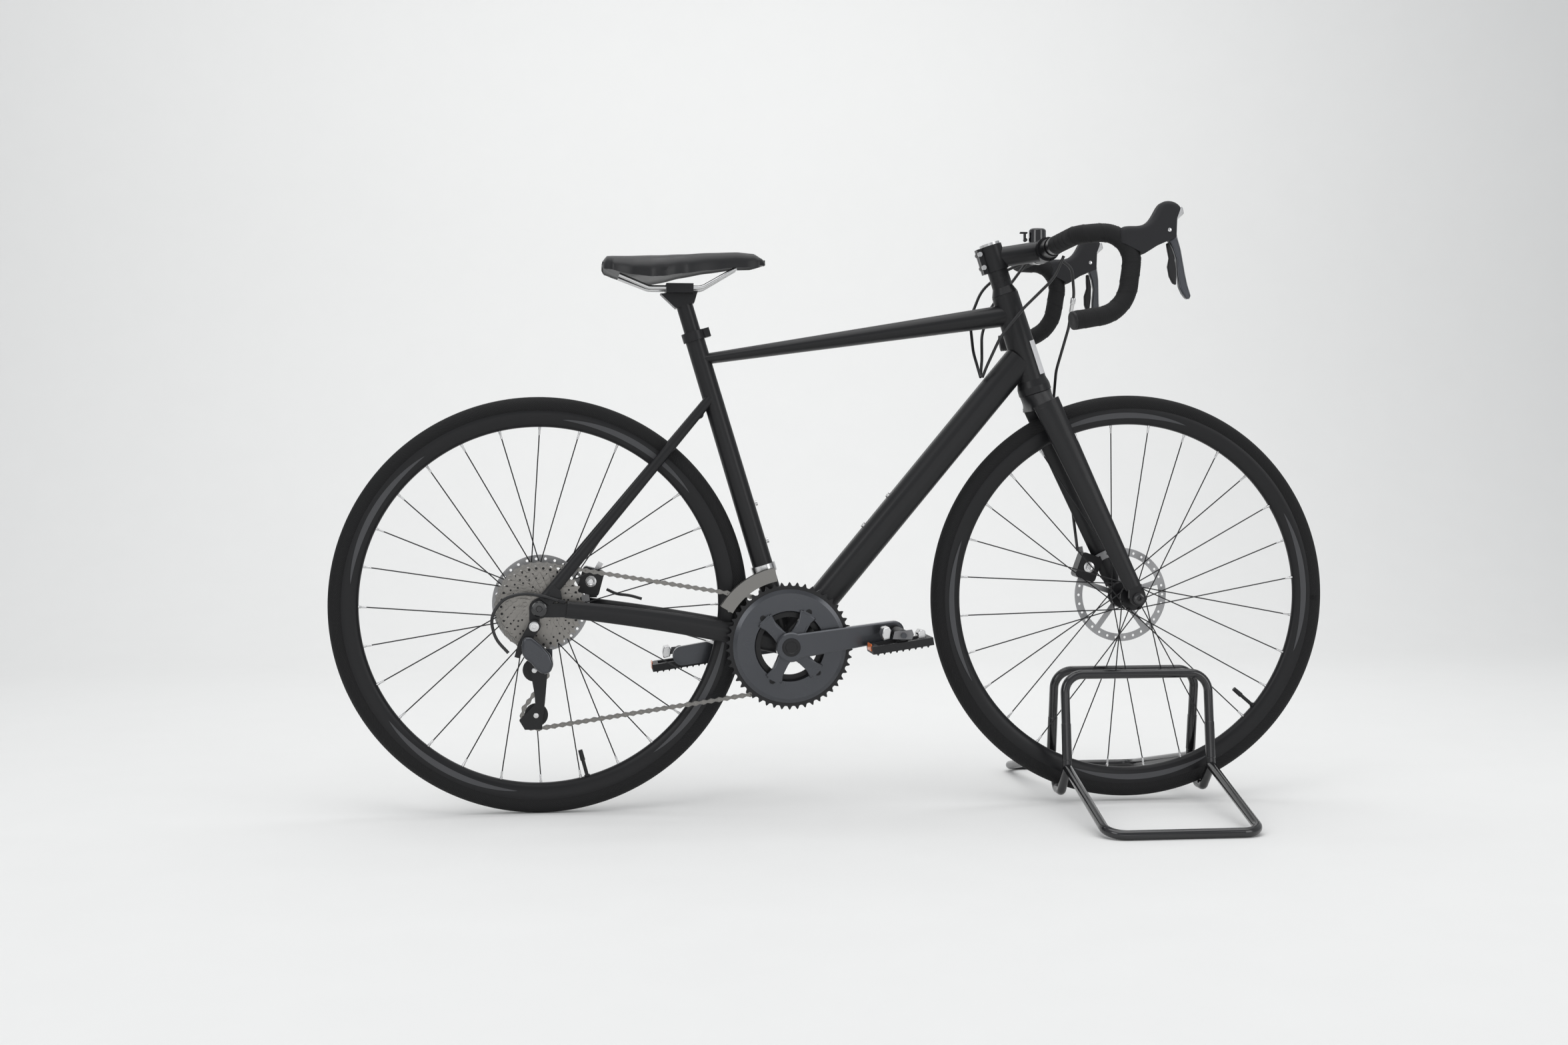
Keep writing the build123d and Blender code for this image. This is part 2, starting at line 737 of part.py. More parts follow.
def brake_lever(side):
    """The lever's round head on its pin, and the blade that hangs outward from it."""
    top = Vector(lever_pivot.X + 8, side * hood_y, lever_pivot.Z - 6)
    middle = Vector(lever_pivot.X + 16, side * (hood_y + 0.4 * lever_flare), lever_pivot.Z - 45)
    tip = Vector(lever_pivot.X + 22, side * (hood_y + lever_flare), lever_pivot.Z - lever_length)
    with BuildPart() as lever:
        with BuildSketch(side_plane(lever_pivot, side * hood_y)):
            Circle(lever_head_radius)
            with Locations((10, 15)):
                Rectangle(12, 22)
        extrude(amount=lever_head_width / 2, both=True)
        blade = ((top, 13.0, 16.0), (middle, lever_blade_width, 9.0), (tip, 10.0, 8.0))
        for place, across_size, depth in blade:
            with BuildSketch(Plane(origin=place, x_dir=(1, 0, 0), z_dir=(0, 0, -1))):
                RectangleRounded(depth, across_size, 3)
        loft(ruled=True)
        with BuildSketch(side_plane(lever_pivot, side * hood_y)):
            Circle(lever_pin_dia / 2 + shaft_gap)
        extrude(amount=hood_width, both=True, mode=Mode.SUBTRACT)
    return lever


paddle_thickness = 5.0


def shift_paddle(side):
    """The plate behind the brake lever, hung on its own small hub below the lever's head."""
    hub = Vector(lever_pivot.X - 6.5, side * (hood_y + 2), lever_pivot.Z - 16.0)
    with BuildPart() as paddle:
        with BuildSketch(Plane(origin=hub, x_dir=(0, 1, 0), z_dir=(1, 0, 0))):
            Circle(4)
        extrude(amount=4, both=True)
        with BuildSketch(Plane(origin=hub, x_dir=(0, 1, 0), z_dir=(1, 0, 0))):
            with BuildLine():
                Polyline(
                    (-3 * side, 0),
                    (3 * side, 0),
                    (11 * side, -30),
                    (21 * side, -58),
                    (20 * side, -72),
                    (10 * side, -60),
                    (2 * side, -30),
                    close=True,
                )
            make_face()
        extrude(amount=paddle_thickness / 2, both=True)
    return paddle


for name, side in (("right", -1), ("left", 1)):
    finish(f"brake_lever_{name}", brake_lever(side))
    finish(f"shift_paddle_{name}", shift_paddle(side))

# bell: a band on the bar, a dome over a striker, and a thumb lever behind
bell_y = 40.0
bell_dia = 29.0
bell_foot = bar_clamp_dia / 2 + 2.5
bell_height = 24.0
bell_place = bar_centre + left * bell_y + Vector(-2, 0, 0)
with BuildPart() as bell:
    with BuildSketch(side_plane(bar_centre, bell_y)):
        Circle(bar_clamp_dia / 2 + 2.5)
        Circle(bar_clamp_dia / 2 + shaft_gap, mode=Mode.SUBTRACT)
    extrude(amount=5, both=True)
    with BuildSketch(Plane.XY.offset(bar_centre.Z + bell_foot - 0.5)):
        with Locations((bell_place.X, bell_y)):
            Circle(bell_dia / 2)
    extrude(amount=bell_height)
    top_face = bell.faces().sort_by(Axis.Z)[-1]
    fillet(top_face.edges(), 5)
    with BuildSketch(Plane.XY.offset(bar_centre.Z + bell_foot + 2)):
        with Locations((bell_place.X - 13, bell_y)):
            Rectangle(14, 8)
    extrude(amount=5, mode=Mode.SUBTRACT)
finish("bell", bell)

bell_pin = bell_place + Vector(-21, 0, bell_foot + 4)
with BuildPart() as bell_lever:
    with BuildSketch(side_plane(bell_pin, bell_y)):
        Circle(3)
        with Locations((-1, 6)):
            Rectangle(3, 12)
        with Locations((-3, 12)):
            Rectangle(12, 2.5)
        Circle(1, mode=Mode.SUBTRACT)
    extrude(amount=3.5, both=True)
finish("bell_lever", bell_lever)

# ================================================================ wheels
tube_wheel_gap = 0.3


rim_flange = rim_outer_radius - tube_wheel_gap


def make_tyre(centre):
    """A 28 mm tyre: a round tread on two beads that sit on the rim's flanges."""
    tread_centre = tyre_radius - tyre_section / 2
    with BuildPart() as tyre:
        with BuildSketch(Plane(origin=centre, x_dir=(1, 0, 0), z_dir=(0, 0, 1))):
            with Locations((tread_centre, 0)):
                Circle(tyre_section / 2)
            with Locations((rim_outer_radius - 1.0, 0)):
                Rectangle(12, rim_width + 2)
            with Locations((rim_outer_radius - 10, 0)):
                Rectangle(20, 2 * tyre_section, mode=Mode.SUBTRACT)
        revolve(axis=Axis(centre, (0, 1, 0)))
    return tyre


def make_rim(centre):
    """A box-section rim with a rounded inner edge."""
    half = rim_width / 2
    with BuildPart() as rim:
        with BuildSketch(Plane(origin=centre, x_dir=(1, 0, 0), z_dir=(0, 0, 1))):
            with BuildLine():
                Polyline(
                    (rim_flange, -half),
                    (rim_flange, half),
                    (rim_outer_radius - 8, half),
                    (rim_inner_radius + 3, half - 4),
                    (rim_inner_radius, half - 8),
                    (rim_inner_radius, 8 - half),
                    (rim_inner_radius + 3, 4 - half),
                    (rim_outer_radius - 8, -half),
                    close=True,
                )
            make_face()
        revolve(axis=Axis(centre, (0, 1, 0)))
    return rim


def make_hub(centre, reach, flange_right, flange_left, flange_radius):
    """A turned hub shell with two spoke flanges, bored for its axle."""
    with BuildPart() as hub:
        with BuildSketch(side_plane(centre, (flange_left + flange_right) / 2)):
            Circle(12)
        extrude(amount=(flange_left - flange_right) / 2, both=True)
        for y in (flange_right, flange_left):
            with BuildSketch(side_plane(centre, y)):
                Circle(flange_radius)
            extrude(amount=1.6, both=True)
        with BuildSketch(side_plane(centre)):
            Circle(9.5)
        extrude(amount=reach, both=True)
        with BuildSketch(side_plane(centre)):
            Circle(axle_dia / 2 + shaft_gap)
        extrude(amount=2 * reach, both=True, mode=Mode.SUBTRACT)
    return hub


def make_spokes(centre, flange_right, flange_left, flange_radius, phase):
    """Crossed spokes, half from each flange, each one laid almost along its flange's tangent."""
    with BuildPart() as spokes:
        for number in range(spoke_count):
            y = flange_left if number % 2 else flange_right
            lean = 1 if (number // 2) % 2 else -1
            rim_angle = radians(phase + 360 / spoke_count * number)
            hub_angle = rim_angle + lean * radians(62)
            outward = 3.7 * (1 if y > 0 else -1)
            foot = centre + Vector(
                (flange_radius - 1) * cos(hub_angle),
                y + outward,
                (flange_radius - 1) * sin(hub_angle),
            )
            head = centre + Vector(
                (rim_inner_radius - 0.6) * cos(rim_angle),
                1.5 * (1 if y > 0 else -1),
                (rim_inner_radius - 0.6) * sin(rim_angle),
            )
            with BuildSketch(Plane(origin=foot, z_dir=(head - foot).normalized())):
                Circle(spoke_dia / 2)
            extrude(amount=(head - foot).length)
    return spokes


def make_rotor(centre, y, turn):
    """A ventilated brake rotor on a five-armed carrier."""
    with BuildPart() as rotor:
        with BuildSketch(side_plane(centre, y)):
            Circle(rotor_radius)
            Circle(rotor_radius - 13, mode=Mode.SUBTRACT)
            Circle(22)
            with PolarLocations(0, 5, start_angle=turn):
                with Locations((44, 0)):
                    Rectangle(52, 9)
            with PolarLocations(rotor_radius - 6.5, 30):
                Circle(2.2, mode=Mode.SUBTRACT)
            Circle(9.5 + shaft_gap, mode=Mode.SUBTRACT)
        extrude(amount=rotor_thickness / 2, both=True)
    return rotor


front_flanges = (-29.0, 22.0)
rear_flanges = (-19.5, 32.0)
flange_radius = 22.0
wheel_sets = (
    ("front", front_axle, front_flanges, front_rotor_y, fork_spacing, 6.0),
    ("rear", rear_axle, rear_flanges, rear_rotor_y, rear_spacing, 0.0),
)
for name, centre, flanges, rotor_y, spacing, phase in wheel_sets:
    reach = spacing / 2 - moving_gap
    finish(f"{name}_tyre", make_tyre(centre))
    finish(f"{name}_rim", make_rim(centre))
    finish(f"{name}_hub", make_hub(centre, reach, *flanges, flange_radius))
    finish(f"{name}_spokes", make_spokes(centre, *flanges, flange_radius, phase))
    finish(f"{name}_rotor", make_rotor(centre, rotor_y, 90))

# ================================================================ drivetrain
crank_dir = Vector(cos(radians(crank_rise_angle)), 0, sin(radians(crank_rise_angle)))
right_pedal = bb + crank_dir * crank_length
left_pedal = bb - crank_dir * crank_length
pedal_axle_dia = 9.0
pedal_axle_length = 88.0
crank_end_radius = 16.0
crank_root_radius = 24.0
crank_thickness = 13.0


def crank_arm(side, direction):
    """A tapering arm with its pedal axle, seen from the side as a rounded wedge."""
    end = bb + direction * crank_length
    with BuildPart() as arm:
        with BuildSketch(Plane(origin=bb + left * side * crank_face_y, x_dir=direction, z_dir=left * side)):
            with BuildLine():
                Polyline(
                    (0, crank_root_radius - 4),
                    (0, 4 - crank_root_radius),
                    (crank_length, -crank_end_radius),
                    (crank_length, crank_end_radius),
                    close=True,
                )
            make_face()
            Circle(crank_root_radius)
            with Locations((crank_length, 0)):
                Circle(crank_end_radius)
        extrude(amount=-crank_thickness)
        chamfer(arm.faces().sort_by(Axis.Y)[0 if side < 0 else -1].edges(), 2)
        with BuildSketch(Plane(origin=end + left * side * (crank_face_y - 1), z_dir=left * side)):
            Circle(pedal_axle_dia / 2)
        extrude(amount=pedal_axle_length)
    return arm.part


spider_angles = (52, 125.5, 234.5, 308)
spider_radius = 62.0
with BuildPart() as crank_right:
    add(crank_arm(-1, crank_dir))
    with BuildSketch(side_plane(bb)):
        Circle(spindle_dia / 2)
    extrude(amount=crank_face_y - 6, both=True)
    spider_plane = Plane(origin=bb - left * 51, x_dir=crank_dir, z_dir=-left)
    with BuildSketch(spider_plane):
        Circle(crank_root_radius)
        for angle in spider_angles:
            with Locations(Location((34 * cos(radians(angle)), 34 * sin(radians(angle))), angle)):
                Rectangle(2 * (spider_radius - 34), 20)
    extrude(amount=10)
finish("crank_right", crank_right)

with BuildPart() as crank_left:
    add(crank_arm(1, crank_dir * -1))
    with BuildSketch(side_plane(bb)):
        Circle(spindle_dia / 2)
    extrude(amount=2 * crank_face_y, both=True, mode=Mode.SUBTRACT)
finish("crank_left", crank_left)


def sprocket(place, teeth, thickness, bore, tooth_height=3.4):
    """A toothed disc, its teeth drawn as narrow wedges around the root circle."""
    pitch_r = pitch_radius(teeth)
    root = pitch_r - 3.6
    step = 360 / teeth
    with BuildPart() as disc:
        with BuildSketch(side_plane(place, place.Y)):
            Circle(root)
            with PolarLocations(root - 0.4, teeth, start_angle=step / 2):
                with BuildLine():
                    Polyline(
                        (0, -3.9),
                        (tooth_height + 3.4, -0.9),
                        (tooth_height + 3.4, 0.9),
                        (0, 3.9),
                        close=True,
                    )
                make_face()
            Circle(bore, mode=Mode.SUBTRACT)
        extrude(amount=thickness / 2, both=True)
    return disc.part


ring_thickness = 2.0
small_ring_place = bb + left * small_ring_y
big_ring_place = bb + left * big_ring_y
ring_bolt_radius = 54.0
with BuildPart() as chainrings:
    add(sprocket(big_ring_place, big_ring_teeth, 3.0, 60.0))
    add(sprocket(small_ring_place, small_ring_teeth, ring_thickness, 47.0))
    for angle in spider_angles:
        heading = radians(angle + crank_rise_angle)
        spot = bb + Vector(cos(heading), 0, sin(heading)) * ring_bolt_radius
        with BuildSketch(side_plane(spot, -50.8)):
            Circle(4.5)
        extrude(amount=-8.6)
finish("chainrings", chainrings)

sprocket_teeth = (11, 12, 13, 15, 17, 20, 23, 26, 30, 34)
with BuildPart() as cassette:
    for number, teeth in enumerate(reversed(sprocket_teeth)):
        place = rear_axle + left * (big_sprocket_y - number * sprocket_pitch)
        add(sprocket(place, teeth, 1.6, 14.0 if teeth < 17 else 17.0))
        if number:
            with BuildSketch(side_plane(place, place.Y + sprocket_pitch / 2)):
                Circle(19.0 if teeth > 12 else 17.0)
                Circle(12.0, mode=Mode.SUBTRACT)
            extrude(amount=sprocket_pitch / 2 + 0.4, both=True)
finish("cassette", cassette)

# pedals: an open cage on an axle housing, with a cleat cradle standing up in the middle
pedal_middle_y = crank_face_y + 50.0
pedal_width = 62.0


def pedal(side, end):
    """A pedal body turning on its axle, built level about the axle."""
    middle = end + left * side * pedal_middle_y
    with BuildPart() as body:
        with BuildSketch(side_plane(middle, middle.Y)):
            Circle(9)
        extrude(amount=pedal_width / 2 - 2, both=True)
        crank_up = crank_dir.cross(left)
        with BuildSketch(Plane(origin=middle - Vector(0, 0, 17), x_dir=crank_dir, z_dir=crank_up)):
            Rectangle(98, pedal_width)
            Rectangle(76, pedal_width - 22, mode=Mode.SUBTRACT)
            Rectangle(10, pedal_width)
        extrude(amount=6, both=True)
        with BuildSketch(Plane(origin=middle, x_dir=crank_dir, z_dir=crank_up)):
            Rectangle(16, pedal_width - 24)
        extrude(amount=-19 if crank_up.Z > 0 else 19)
        with BuildSketch(side_plane(middle, middle.Y)):
            Circle(pedal_axle_dia / 2 + shaft_gap)
        extrude(amount=pedal_width, both=True, mode=Mode.SUBTRACT)
    return body


for name, side, end in (("right", -1, right_pedal), ("left", 1, left_pedal)):
    finish(f"pedal_{name}", pedal(side, end))

# rear derailleur
guide_pulley_place = at(-9.0, big_sprocket_y, 236.0)
tension_pulley_place = at(-6.5, big_sprocket_y, 163.2)
knuckle_place = at(6.0, -56.0, 250.0)
link_top = at(-24.0, -92.0, 284.0)
link_pin_dia = 5.0
bracket_y = -(dropout_y + dropout_thickness / 2 + seat_gap)
with BuildPart() as rd_bracket:
    with BuildSketch(side_plane(hanger_bolt, bracket_y)):
        Circle(10)
    extrude(amount=14)
    with BuildSketch(side_plane(hanger_bolt, bracket_y - 4)):
        with BuildLine():
            Polyline(
                (-4, 9),
                (-15, -8),
                (-25, -26),
                (-31, -48),
                (-24, -50),
                (-12, -33),
                (7, -7),
                close=True,
            )
        make_face()
    extrude(amount=9)
    with BuildSketch(side_plane(hanger_bolt, bracket_y)):
        Circle(hanger_bolt_dia / 2 - shaft_gap)
    extrude(amount=-(dropout_thickness + seat_gap))
finish("rd_bracket", rd_bracket)

link_low = at(4.0, -64.0, 262.0)
with BuildPart() as rd_link:
    link_run = link_low - link_top
    with BuildSketch(Plane(origin=link_top + Vector(6, -8.5, -6), z_dir=link_run.normalized())):
        RectangleRounded(14, 20, 4)
    extrude(amount=link_run.length - 14)
    with BuildSketch(Plane(origin=link_top - Vector(0, 0, 5), z_dir=(0, 0, 1))):
        Circle(link_pin_dia / 2)
    extrude(amount=7, both=True)
    with Locations(link_top + Vector(3, -4.5, -5)):
        Box(8, 9, 8)
finish("rd_link", rd_link)

with BuildPart() as rd_knuckle:
    with BuildSketch(side_plane(knuckle_place, -36)):
        Circle(15)
    extrude(amount=18)
    with BuildSketch(side_plane(knuckle_place, -40)):
        with Locations((6, 12)):
            Rectangle(16, 20)
    extrude(amount=12)
    with BuildSketch(Plane(origin=link_low, z_dir=(0, 0, 1))):
        Circle(link_pin_dia / 2)
    extrude(amount=8, both=True)
    with Locations(link_low + Vector(3, 6, 0)):
        Box(7, 13, 8)
finish("rd_knuckle", rd_knuckle)

cage_outer_y = -34.0
cage_inner_y = -22.0
pulley_bolt_dia = 5.0


def cage_plate(y, width):
    """One cage plate, running from the guide pulley down to the tension pulley."""
    with BuildPart() as plate:
        with BuildSketch(side_plane(tension_pulley_place, y)):
            with BuildLine():
                Polyline(
                    (-27, -8),
                    (-18, -23),
                    (9, -23),
                    (14, 20),
                    (18, 66),
                    (14, 84),
                    (-12, 84),
                    (-8, 66),
                    (0, 20),
                    close=True,
                )
            make_face()
        extrude(amount=width / 2, both=True)
    return plate.part


with BuildPart() as rd_cage:
    add(cage_plate(cage_outer_y, 2.0))
    add(cage_plate(cage_inner_y, 2.0))
    for place in (guide_pulley_place, tension_pulley_place):
        with BuildSketch(side_plane(place, big_sprocket_y)):
            Circle(pulley_bolt_dia / 2)
        extrude(amount=7.2, both=True)
finish("rd_cage", rd_cage)

for name, place in (("guide", guide_pulley_place), ("tension", tension_pulley_place)):
    with BuildPart() as pulley:
        add(sprocket(place, pulley_teeth, 2.0, pulley_bolt_dia / 2 + shaft_gap, 2.6))
    finish(f"rd_{name}_pulley", pulley)

# front derailleur: a clamp and link on the seat tube, and the cage over the rings
fd_station = 122.0
fd_clamp_height = 14.0
with BuildPart() as front_derailleur:
    with BuildSketch(across(on_seat(fd_station), seat_dir)):
        Circle(seat_tube_low_dia / 2 + 3)
    extrude(amount=fd_clamp_height)
    with BuildSketch(side_plane(on_seat(fd_station), -26)):
        with Locations((-8, 6)):
            Rectangle(20, 26)
    extrude(amount=10)
    add(seat_tube_mitre.part, mode=Mode.SUBTRACT)
front_derailleur.part = front_derailleur.part.solids().sort_by(SortBy.VOLUME)[-1]
finish("front_derailleur", front_derailleur)

fd_inner_y = -31.0
fd_outer_y = -46.5


def fd_blade(y):
    """One side plate of the cage, curved to follow the big ring."""
    inner = pitch_radius(big_ring_teeth) + 6
    with BuildPart() as blade:
        with BuildSketch(side_plane(bb, y)):
            Circle(inner + 22)
            Circle(inner, mode=Mode.SUBTRACT)
            with BuildLine():
                Polyline((0, 0), (-30, 160), (-230, 160), (-230, 134), close=True)
            make_face(mode=Mode.INTERSECT)
        extrude(amount=0.8, both=True)
    return blade.part


with BuildPart() as fd_cage:
    for y in (fd_inner_y, fd_outer_y):
        add(fd_blade(y))
    with BuildSketch(side_plane(bb, (fd_inner_y + fd_outer_y) / 2)):
        with Locations((-96, 59)):
            Rectangle(8, 6)
    extrude(amount=(fd_inner_y - fd_outer_y) / 2, both=True)
finish("fd_cage", fd_cage)


def caliper(centre, rotor_y, place, slant):
    """A disc caliper: a body over the rotor's edge, with a slot for it."""
    with BuildPart() as body:
        with BuildSketch(side_plane(place, rotor_y)):
            with Locations(Location((0, 0), slant)):
                RectangleRounded(36, 44, 6)
        extrude(amount=15, both=True)
        with BuildSketch(side_plane(centre, rotor_y)):
            Circle(rotor_radius + 3)
        extrude(amount=rotor_thickness / 2 + moving_gap + 0.4, both=True, mode=Mode.SUBTRACT)
        with BuildSketch(side_plane(place, rotor_y + 15)):
            Circle(9)
        extrude(amount=-4)
    return body


front_caliper_place = at(922, 0, 393)
rear_caliper_place = at(82, 0, 374)
front_caliper = caliper(front_axle, front_rotor_y, front_caliper_place, -20)
with front_caliper:
    add(fork.part, mode=Mode.SUBTRACT)
finish("front_caliper", front_caliper)
rear_caliper = caliper(rear_axle, rear_rotor_y, rear_caliper_place, -15)
with rear_caliper:
    with Locations(rear_caliper_place + Vector(0, 61, -16)):
        Box(20, 8, 24)
    add(chainstays.part, mode=Mode.SUBTRACT)
finish("rear_caliper", rear_caliper)


def caliper_arm(place, rotor_y, direction):
    """The arm that the cable pulls, turning on the caliper's outer boss."""
    face = rotor_y + 15 + 4 + seat_gap
    heading = radians(direction)
    with BuildPart() as arm:
        with BuildSketch(side_plane(place, face)):
            Circle(10)
            with Locations(Location((17 * cos(heading), 17 * sin(heading)), direction)):
                Rectangle(34, 9)
        extrude(amount=-4)
    return arm


finish("front_caliper_arm", caliper_arm(front_caliper_place, front_rotor_y, 100))
finish("rear_caliper_arm", caliper_arm(rear_caliper_place, rear_rotor_y, 60))

# chain: two side-plate bands around the wheels it runs on, tied by pins on the straight runs
chain_half_height = 4.1
chain_outer = 6.0
chain_inner = 3.4
chain_lap = 0.8
chain_step = 0.2
links_on_teeth = 4


def tangent_points(c1, r1, c2, r2, sign):
    """Ends of the line that touches two circles, on the side that sign picks."""
    gap = c2 - c1
    flat = Vector(gap.X, 0, gap.Z)
    heading = atan2(flat.Z, flat.X)
    lean = acos(max(-1, min(1, (r1 - r2) / flat.length)))
    angle = heading + sign * lean
    spoke = Vector(cos(angle), 0, sin(angle))
    return c1 + spoke * r1, c2 + spoke * r2


ring_r = pitch_radius(small_ring_teeth)
cog_r = pitch_radius(big_sprocket_teeth)
pulley_r = pitch_radius(pulley_teeth)
cog_place = rear_axle + left * big_sprocket_y
top_rear, top_front = tangent_points(cog_place, cog_r, small_ring_place, ring_r, 1)
low_rear, low_front = tangent_points(tension_pulley_place, pulley_r, small_ring_place, ring_r, -1)


def chain_run(start, end):
    """One straight run: two plates with pins between them."""
    heading = (end - start).normalized()
    run = (end - start).length
    plane = Plane(origin=start, x_dir=heading, z_dir=(heading.cross(left)))
    with BuildPart() as run_part:
        with BuildSketch(plane):
            with Locations((run / 2, 0)):
                Rectangle(run + 2 * chain_lap, chain_outer - chain_step)
                Rectangle(run + 4 * chain_lap, chain_inner + chain_step, mode=Mode.SUBTRACT)
            pins = range(links_on_teeth, int(run / chain_pitch) - links_on_teeth)
            if pins:
                with Locations(*[(chain_pitch * n, 0) for n in pins]):
                    Rectangle(4, chain_outer - 2 * chain_step)
        extrude(amount=chain_half_height - chain_step, both=True)
    return run_part.part


def chain_arc(place, radius, first, last):
    """The chain around a wheel, counter-clockwise from one angle to another, seen from the right."""
    spoke = Vector(cos(radians(first)), 0, sin(radians(first)))
    plate = (chain_outer - chain_inner) / 2
    offset = (chain_outer + chain_inner) / 4
    with BuildPart() as arc:
        with BuildSketch(Plane(origin=place, x_dir=spoke, z_dir=spoke.cross(left))):
            with Locations((radius, offset), (radius, -offset)):
                Rectangle(2 * chain_half_height, plate)
        revolve(axis=Axis(place, (0, -1, 0)), revolution_arc=last - first)
    return arc.part


def spoke_angle(centre, point):
    """Angle of a point about a centre, in degrees, seen from the right side."""
    return degrees(atan2(point.Z - centre.Z, point.X - centre.X))


def crossing_points(c1, r1, c2, r2, sign):
    """Ends of the line that crosses between two circles that turn opposite ways."""
    gap = c2 - c1
    heading = atan2(gap.Z, gap.X)
    lean = acos((r1 + r2) / hypot(gap.X, gap.Z))
    spoke = Vector(cos(heading + sign * lean), 0, sin(heading + sign * lean))
    return c1 + spoke * r1, c2 - spoke * r2


cog_leave, guide_meet = crossing_points(cog_place, cog_r, guide_pulley_place, pulley_r, -1)
guide_leave, tension_meet = crossing_points(
    guide_pulley_place, pulley_r, tension_pulley_place, pulley_r, 1
)
with BuildPart() as chain:
    add(
        chain_arc(
            cog_place,
            cog_r,
            spoke_angle(cog_place, top_rear),
            spoke_angle(cog_place, cog_leave) + 360,
        )
    )
    add(
        chain_arc(
            guide_pulley_place,
            pulley_r,
            spoke_angle(guide_pulley_place, guide_leave),
            spoke_angle(guide_pulley_place, guide_meet),
        )
    )
    add(
        chain_arc(
            tension_pulley_place,
            pulley_r,
            spoke_angle(tension_pulley_place, tension_meet),
            spoke_angle(tension_pulley_place, low_rear) + 360,
        )
    )
    add(
        chain_arc(
            small_ring_place,
            ring_r,
            spoke_angle(small_ring_place, low_front),
            spoke_angle(small_ring_place, top_front),
        )
    )
    add(chain_run(top_rear, top_front))
    add(chain_run(low_rear, low_front))
    add(chain_run(cog_leave, guide_meet))
    add(chain_run(guide_leave, tension_meet))
finish("chain", chain)

# ================================================================ cables
cable_dia = 5.0
largest_bend = 70.0


def cable(points):
    """A round cable through its points, with each bend as wide as its two runs allow."""
    bends = []
    for before, corner, after in zip(points, points[1:], points[2:]):
        turn = radians((corner - before).get_angle(after - corner))
        shorter = min((corner - before).length, (after - corner).length)
        bends.append(min(largest_bend, 0.45 * shorter / (sin(turn / 2) / cos(turn / 2))))
    with BuildPart() as piece:
        with BuildLine() as path:
            FilletPolyline(*points, radius=bends)
        with BuildSketch(Plane(origin=path.line @ 0, z_dir=path.line % 0)):
            Circle(cable_dia / 2)
        sweep(path=path.line)
    return piece.part


front_brake_route = (
    at(858, -30, 904),
    at(876, -26, 892),
    at(883, -14, 850),
    at(880, 8, 796),
    at(866, 34, 726),
    at(868, 60, 668),
    at(884, 70, 600),
    at(902, 70, 520),
    at(908, 62, 455),
    at(910, 52, 420),
)
with BuildPart() as front_brake_cable:
    add(cable(front_brake_route))
finish("front_brake_cable", front_brake_cable)

bar_cable_routes = (
    (
        at(852, -62, 908),
        at(838, -54, 872),
        at(790, -44, 824),
        at(752, -38, 776),
        at(734, -20, 730),
        at(729, -9, 712),
    ),
    (
        at(822, 52, 912),
        at(782, 62, 896),
        at(742, 58, 862),
        at(720, 48, 812),
        at(722, 30, 756),
        at(728, 0, 712),
    ),
    (
        at(826, 78, 914),
        at(800, 74, 880),
        at(760, 60, 836),
        at(740, 46, 786),
        at(736, 26, 744),
        at(730, 9, 713),
    ),
)
with BuildPart() as bar_cables:
    for route in bar_cable_routes:
        add(cable(route))
    add(down_tube.part, mode=Mode.SUBTRACT)
    add(bar_tape.part, mode=Mode.SUBTRACT)
finish("bar_cables", bar_cables)

rear_shift_route = (
    at(34, -81, 350),
    at(8, -82, 358),
    at(-24, -88, 364),
    at(-56, -92, 356),
    at(-76, -93, 326),
    at(-68, -93, 292),
    at(-48, -91, 270),
)
rear_brake_route = (
    at(166, 45, 344),
    at(146, 46, 350),
    at(124, 49, 352),
    at(108, 51, 360),
)
with BuildPart() as rear_cables:
    add(cable(rear_shift_route))
    add(cable(rear_brake_route))
finish("rear_cables", rear_cables)

# ================================================================ stand
stand_rear_x = front_x - stand_back_from_axle
stand_front_x = front_x + stand_front_from_axle
stand_r = stand_tube_dia / 2
base_rear_x = stand_rear_x - 13.0
base_front_x = stand_front_x - 19.0


def bent_tube(points, bend):
    """A stand tube bent round through its corner points."""
    with BuildPart() as tube:
        with BuildLine() as path:
            FilletPolyline(*points, radius=bend)
        with BuildSketch(Plane(origin=path.line @ 0, z_dir=path.line % 0)):
            Circle(stand_r)
        sweep(path=path.line)
    return tube.part


def cradle_height(offset):
    """Height of a cradle bar's centre, just under the tyre at this distance from the axle."""
    reach = tyre_radius + stand_r + moving_gap
    return front_axle.Z - sqrt(reach**2 - offset**2)


with BuildPart() as stand_hoops:
    for side in (-1, 1):
        hoop_points = (
            Vector(stand_rear_x, side * stand_joint_y, stand_joint_height),
            Vector(stand_rear_x, side * stand_top_y, stand_top_height),
            Vector(stand_front_x, side * stand_top_y, stand_top_height),
            Vector(stand_front_x, side * stand_joint_y, stand_joint_height),
        )
        add(bent_tube(hoop_points, stand_corner))
finish("stand_hoops", stand_hoops)

with BuildPart() as stand_base:
    for side in (-1, 1):
        base_points = (
            Vector(stand_rear_x, side * stand_joint_y, stand_joint_height),
            Vector(base_rear_x, side * stand_floor_y, stand_r),
            Vector(base_front_x, side * stand_floor_y, stand_r),
            Vector(stand_front_x, side * stand_joint_y, stand_joint_height),
        )
        add(bent_tube(base_points, stand_corner))
    add(stand_hoops.part, mode=Mode.SUBTRACT)

